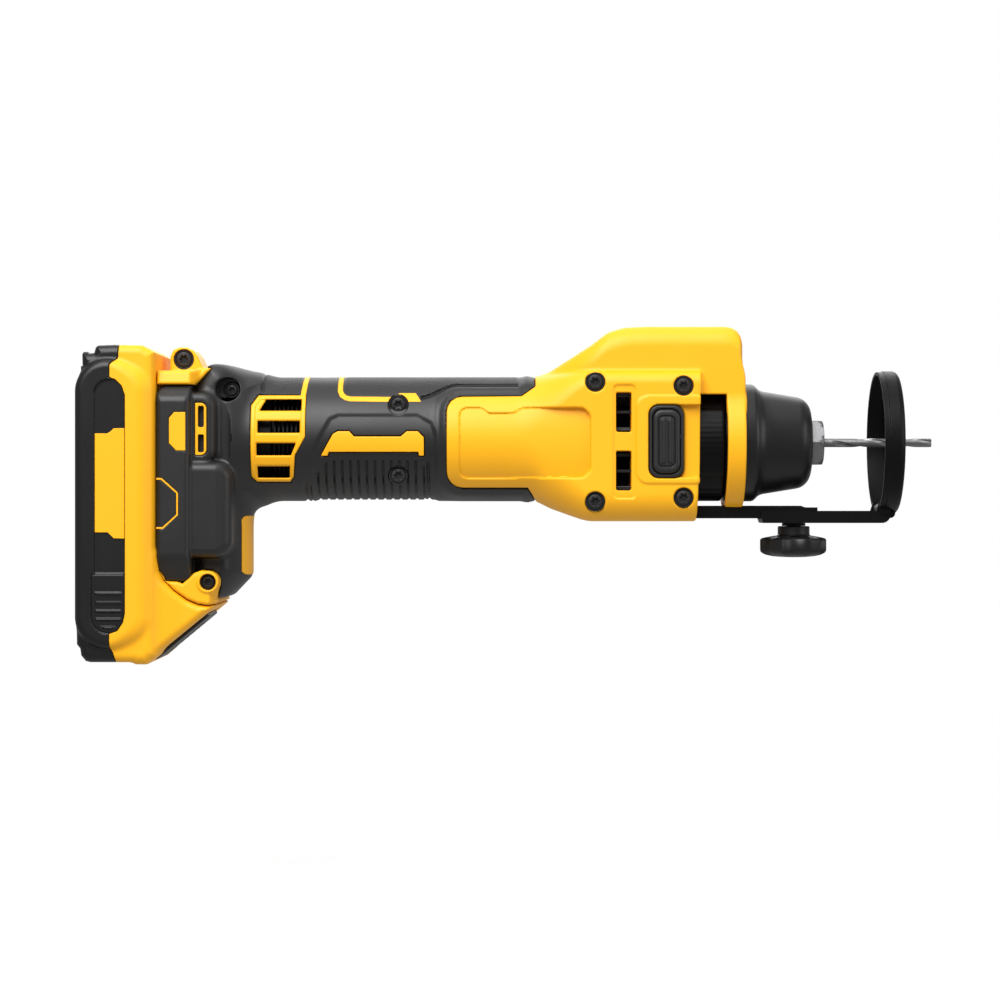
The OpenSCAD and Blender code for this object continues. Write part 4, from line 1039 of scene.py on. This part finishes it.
class TOOL_OT_foot_frame(Operator):
    """Yellow frame of the foot, the grilles in the grip, the lines let into it and the bare plaques"""

    bl_idname = "cutout.foot_frame"
    bl_label = "Foot frame and trims"

    def execute(self, context):
        fine = context.scene.tool_sizes.trim_pitch
        for name, field_of, low, high, pitch in (
                ("foot_frame", frame_shell, (27.5, -0.2, -59.5), (54, 33.4, 36), 0.42),
                ("grille", grille, (60.6, 6, -15.4), (82.2, 23.4, 17.8), fine),
                ("grip_lines", stripes, (78, -0.1, 13), (124, 23.4, 25), 0.3),
                ("grip_plaque", lambda side: plaque, (86, 20, -6), (125, 23.8, 4.6), 0.3),
                ("panel_window", lambda side: panel_window, (33, 31.6, -4), (40, 33.6, 11), 0.28),
                ("panel_line", lambda side: panel_line, (28.6, 31.6, -32), (37.4, 33.6, -12.5), 0.24),
                ("shoulder_window", lambda side: shoulder_window, (42, 27.4, -5.6), (47, 29.8, 14.4), 0.26)):
            mouldings(name, field_of, low, high, pitch, "tool_body", "yellow_nylon")
        moulding("foot_plate", neck_plate, (57, -24, -49), (63, 24, -26), 0.4, "tool_body", "yellow_nylon")
        return {"FINISHED"}


class TOOL_OT_grip(Operator):
    """Two halves of the black soft skin with ribs, grooves, side panels and bumpers, and the black tube inside it
    that paints the shade behind the grille"""

    bl_idname = "cutout.grip"
    bl_label = "Soft grip"

    def execute(self, context):
        pitch = context.scene.tool_sizes.shell_pitch
        mouldings("grip", grip_shell, (28, -0.2, -58), (167, 33.6, 29), pitch, "tool_body", "black_grip",
                  "grip", (79.6, 126.8, 0.295))
        # Black inner tube in place of the yellow one: painted shade behind the grille
        moulding("grip_painted_shade_sleeve", sleeve, (61, -21, -20), (167, 21, 23), 0.8, "tool_body", "black_nylon")
        # The fins get a near-black finish instead of aluminium: painted shade seen through the grille
        moulding("heat_sink_fins", cooling_fins, (61, -19, -18), (82, 19, 21), 0.5, "tool_body", "aluminium",
                 ["heat_sink"], (66.2, 81.8, 0.24), "fins_in_painted_shade")
        return {"FINISHED"}


class TOOL_OT_battery(Operator):
    """Battery pack: black tray with ridged grips, yellow cover with rail and tower, bare side labels,
    release pad"""

    bl_idname = "cutout.battery"
    bl_label = "Battery pack"

    def execute(self, context):
        moulding("pack_tray", tray, (-0.5, -38, -79.5), (19, 38, 35), (0.4, 0.8, 0.42), "battery",
                 "black_nylon", ["battery_tray"])
        moulding("pack_cover", cover, (12, -38, -79.5), (52, 38, 35), (0.55, 0.7, 0.55), "battery",
                 "yellow_nylon", ["battery_cover"])
        mouldings("pack_label", lambda side: pack_label, (7, 36, -36), (19, 37.9, 6), 0.3, "battery",
                  "yellow_nylon")
        moulding("release_pad", release_pad, (25, -16, -80), (46, 16, -58), 0.4, "release", "black_nylon",
                 ["release_button"])
        return {"FINISHED"}


class TOOL_OT_switch(Operator):
    """Power button with its rubber frame"""

    bl_idname = "cutout.switch"
    bl_label = "Power button"

    def execute(self, context):
        moulding("power_button", power_button, (205, -27, -13), (217, -20.5, 13), 0.3, "power_button",
                 "black_grip", ["switch_button"])
        moulding("button_boot", button_boot, (204, -26, -14), (218, -21.5, 14), 0.3, "tool_body",
                 "black_grip", ["switch_boot"])
        return {"FINISHED"}


class TOOL_OT_nose_parts(Operator):
    """Turned nose cone, the twist collar with its ridged finger pads, and the slats in the vents"""

    bl_idname = "cutout.nose_parts"
    bl_label = "Nose cone and collar"

    def execute(self, context):
        bend = np.radians(np.linspace(81, 0, 13))
        face = np.stack([259.1 + 6.0 * np.cos(bend), 10.9 + 6.0 * np.sin(bend)], 1)
        flange = [(236.3, 9.75), (236.3, 15.9), (233.1, 15.9), (233.1, 21.1), (233.5, 21.5), (243.3, 21.5),
                  (244.1, 21.3), (244.8, 20.7), (245.8, 19.7), (246.6, 19.2), (247.6, 18.88), (251.0, 18.3),
                  (255.0, 17.65)]
        cone = np.concatenate([flange, face, [(264.9, 9.75)]])
        piece("nose_cone_turned", *turned(cone, 160), "tool_body", "black_nylon", ["nose_cone"])
        middle = 227.05
        x = np.linspace(221.6, 232.5, 24)
        outer = np.stack([x, 20.7 - 0.35 * ease(np.abs(x - middle), 4.6, 5.5)], 1)
        profile = np.concatenate([[[221.3, 17.0], [221.3, 20.2]], outer, [[232.8, 20.2], [232.8, 17.0]]])

        def pads(x, r, angle):
            """Radius of the collar: four pads 0.7 mm proud about the y and z directions, with fine ridges
            along x."""
            turn = np.abs((angle + np.pi / 4) % (np.pi / 2) - np.pi / 4)
            pad = ease(-turn, -0.62, -0.57) * (r > 19)
            return r + pad * (0.66 + 0.03 * np.cos(angle * 72)) * ease(-np.abs(x - middle), -5.6, -4.9)

        # The collar's finish is a darker copy of the black nylon: painted shade in the nose's window
        piece("collar_turned", *turned(profile, 432, pads), "collar", "black_nylon", ["bit_collar"],
              finish="collar_painted_shade")

        def slats(x, y, z):
            """A slat across the middle of each vent, and a black bar behind its outer end that paints shade where
            the yellow shell wall would show.
            """
            a, height = np.abs(y), np.abs(z)
            slat = np.maximum(np.abs(height - 10.6) - 0.5, np.abs(a - 20.3) - 1.5)
            # Black bar behind the vent's outer end: painted shade over the shell wall
            shade_bar = np.maximum(np.abs(height - 17.4) - 1.4, np.abs(a - 14.6) - 6.2)
            return np.maximum(np.minimum(slat, shade_bar), np.abs(x - 195.7) - 3.4)

        moulding("vent_slats", slats, (192, -23, -19), (199.5, 23, 19), 0.4, "tool_body", "black_nylon")
        return {"FINISHED"}


class TOOL_OT_cutter(Operator):
    """Hexagonal collet nut and the spiral cutting bit"""

    bl_idname = "cutout.cutter"
    bl_label = "Nut and bit"

    def execute(self, context):
        sizes = context.scene.tool_sizes
        nut = [(253.1, 6.3), (253.1, 8.4), (253.7, 9.2), (255, 9.3), (261, 9.3), (267.4, 9.3), (268.2, 9.1),
               (269.0, 8.6), (269.5, 8.1), (269.7, 7.6), (269.7, 4.2), (269.3, 3.7), (263, 3.5), (261, 6.3)]

        def six_flats(x, r, angle):
            """Radius of the nut: the smaller of the turned profile and a hexagon 16 mm across its flats,
            which face z."""
            return np.minimum(r, 8.0 / np.cos((angle + np.pi / 6) % (np.pi / 3) - np.pi / 6))

        piece("collet_nut_cut", *turned(nut, 240, six_flats), "nut", "ground_steel",
              ["collet_nut", "nut_sleeve"])
        tip = 309.7
        shank, edge = np.linspace(247.2, 272, 20), np.linspace(272.3, 309.5, 170)
        x = np.concatenate([shank, edge, [309.6, 309.66, tip]])
        outer = np.stack([x, 1.5875 - 0.25 * ease(x, 309.4, 309.75)], 1)
        bit = np.concatenate([outer, [[tip, 0.6], [309.5, 0.0], [247.2, 0.0]]])

        def fluted(x, r, angle):
            """Radius of the bit: sharp-edged hollows that follow a helix along x, fading into the round
            shank."""
            turn = sizes.flutes * (angle - 2 * np.pi * (x - tip) / sizes.flute_lead)
            hollow = ease(-np.cos(turn), 0.25, 0.6) * (0.75 - 0.25 * np.cos(turn))
            return r * (1 - 0.5 * hollow * ease(x, 273, 277))

        piece("cutting_bit_fluted", *turned(bit, 96, fluted), "chuck", "ground_steel", ["cutting_bit"])
        return {"FINISHED"}


class TOOL_OT_knob(Operator):
    """Five-lobed clamp knob and the guide ring"""

    bl_idname = "cutout.knob"
    bl_label = "Clamp knob and guide ring"

    def execute(self, context):
        count, part, centre, hollow = 240, 2 * np.pi / 5, 14.8, 6.2
        angle = np.linspace(0, 2 * np.pi, count, endpoint=False)[None, :]
        bite = (angle + np.pi / 2 + np.pi / 5) % part - np.pi / 5
        reach = centre * np.cos(bite) - np.sqrt(np.maximum(hollow ** 2 - (centre * np.sin(bite)) ** 2, 0))
        lobe = join(12.3 + 0 * bite, np.where(centre * np.abs(np.sin(bite)) < hollow, reach, 17), 1.6)
        # Rows from the boss to the end: z, 1 where lobed, and a radius or a share of the lobes' radius
        rows = np.array([(-30.6, 0, 2.6), (-30.6, 0, 5.4), (-30.9, 0, 5.85), (-33.6, 0, 5.85),
                         (-34.0, 0, 6.2), (-34.2, 1, 0.62), (-34.8, 1, 0.88), (-35.1, 1, 0.96),
                         (-35.6, 1, 1.0), (-39.2, 1, 1.0), (-40.0, 1, 0.985), (-40.6, 1, 0.93),
                         (-41.2, 1, 0.82), (-41.7, 1, 0.62), (-41.9, 1, 0.4),
                         (-42.0, 1, 0.15), (-42.0, 1, 0.0), (-36.0, 1, 0.0), (-36.0, 0, 2.6)])
        z, lobed, r = (rows[:, i:i + 1] for i in range(3))
        radius = np.where(lobed > 0, r * lobe, r)
        points = np.stack([259.2 + radius * np.cos(angle), radius * np.sin(angle), z + 0 * angle], -1)
        piece("clamp_knob_lobed", points.reshape(-1, 3), grid_faces(len(rows), count, True, True), "knob",
              "black_nylon", ["clamp_knob"])
        moulding("guide_ring_turned", guide_ring, (288.6, -27, -29), (297.6, 27, 27), 0.4, "guide",
                 "black_steel", ["guide_ring"])
        return {"FINISHED"}


class TOOL_OT_screws(Operator):
    """Flanged pan-head screws with six-lobed sockets"""

    bl_idname = "cutout.screws"
    bl_label = "Screws"

    def execute(self, context):
        count, flange = 72, 3.5
        angle = np.linspace(0, 2 * np.pi, count, endpoint=False)[None, :]
        socket = 1.35 + 0.22 * np.cos(6 * angle)
        # Rows from the socket's floor outwards and down the shank: radius, depth, and 1 where lobed
        rows = np.array([(0.0, 1.3, 1), (0.98, 1.3, 1), (1.0, 0.1, 1), (1.12, 0.0, 1), (2.4, 0.05, 0),
                         (2.62, 0.18, 0), (2.76, 0.45, 0), (2.8, 0.9, 0), (2.92, 0.9, 0), (2.98, 0.5, 0),
                         (3.08, 0.42, 0), (3.4, 0.42, 0), (flange, 0.55, 0),
                         (flange, HEAD_DEPTH, 0), (1.5, HEAD_DEPTH, 0), (1.5, 10.5, 0), (0.0, 10.5, 0)])
        r, depth, lobed = (rows[:, i:i + 1] for i in range(3))
        radius = np.where(lobed > 0, r * socket, r + 0 * angle)
        u, w, v = radius * np.cos(angle) / flange, radius * np.sin(angle) / flange, depth + 0 * angle
        heads = [np.stack([x + size * u, v - y, z + size * w], -1).reshape(-1, 3) for x, z, y, size in SCREWS]
        faces = grid_faces(len(rows), count, True, True)
        shifted = [faces + i * len(rows) * count for i in range(len(heads))]
        piece("housing_screws_cut", np.concatenate(heads), np.concatenate(shifted), "tool_body",
              "black_steel", ["housing_screws"], finish="screw_head")
        return {"FINISHED"}


class TOOL_PT_panel(Panel):
    """Lists the operators and settings of the cut-out tool"""

    bl_idname = "TOOL_PT_panel"
    bl_label = "Cut-out tool"
    bl_space_type = "VIEW_3D"
    bl_region_type = "UI"
    bl_category = "Cut-out tool"

    def draw(self, context):
        layout = self.layout
        for operator in OPERATORS:
            layout.operator(operator.bl_idname)
        for group in (context.scene.tool_sizes, context.scene.tool_colours, context.scene.tool_studio):
            for key in group.bl_rna.properties.keys():
                if key not in ("rna_type", "name"):
                    layout.prop(group, key)


OPERATORS = [TOOL_OT_studio, TOOL_OT_node_finishes, TOOL_OT_nose, TOOL_OT_foot_frame, TOOL_OT_grip,
             TOOL_OT_battery, TOOL_OT_switch, TOOL_OT_nose_parts, TOOL_OT_cutter, TOOL_OT_knob,
             TOOL_OT_screws]
CLASSES = [ToolColours, ToolSizes, StudioSettings] + OPERATORS + [TOOL_PT_panel]


def register():
    for cls in CLASSES:
        bpy.utils.register_class(cls)
    bpy.types.Scene.tool_colours = PointerProperty(type=ToolColours)
    bpy.types.Scene.tool_sizes = PointerProperty(type=ToolSizes)
    bpy.types.Scene.tool_studio = PointerProperty(type=StudioSettings)


def unregister():
    del bpy.types.Scene.tool_colours, bpy.types.Scene.tool_sizes, bpy.types.Scene.tool_studio
    for cls in reversed(CLASSES):
        bpy.utils.unregister_class(cls)


def main():
    """Registers the add-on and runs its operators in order."""
    register()
    for operator in OPERATORS:
        group, name = operator.bl_idname.split(".")
        getattr(getattr(bpy.ops, group), name)()


if __name__ == "__main__":
    main()
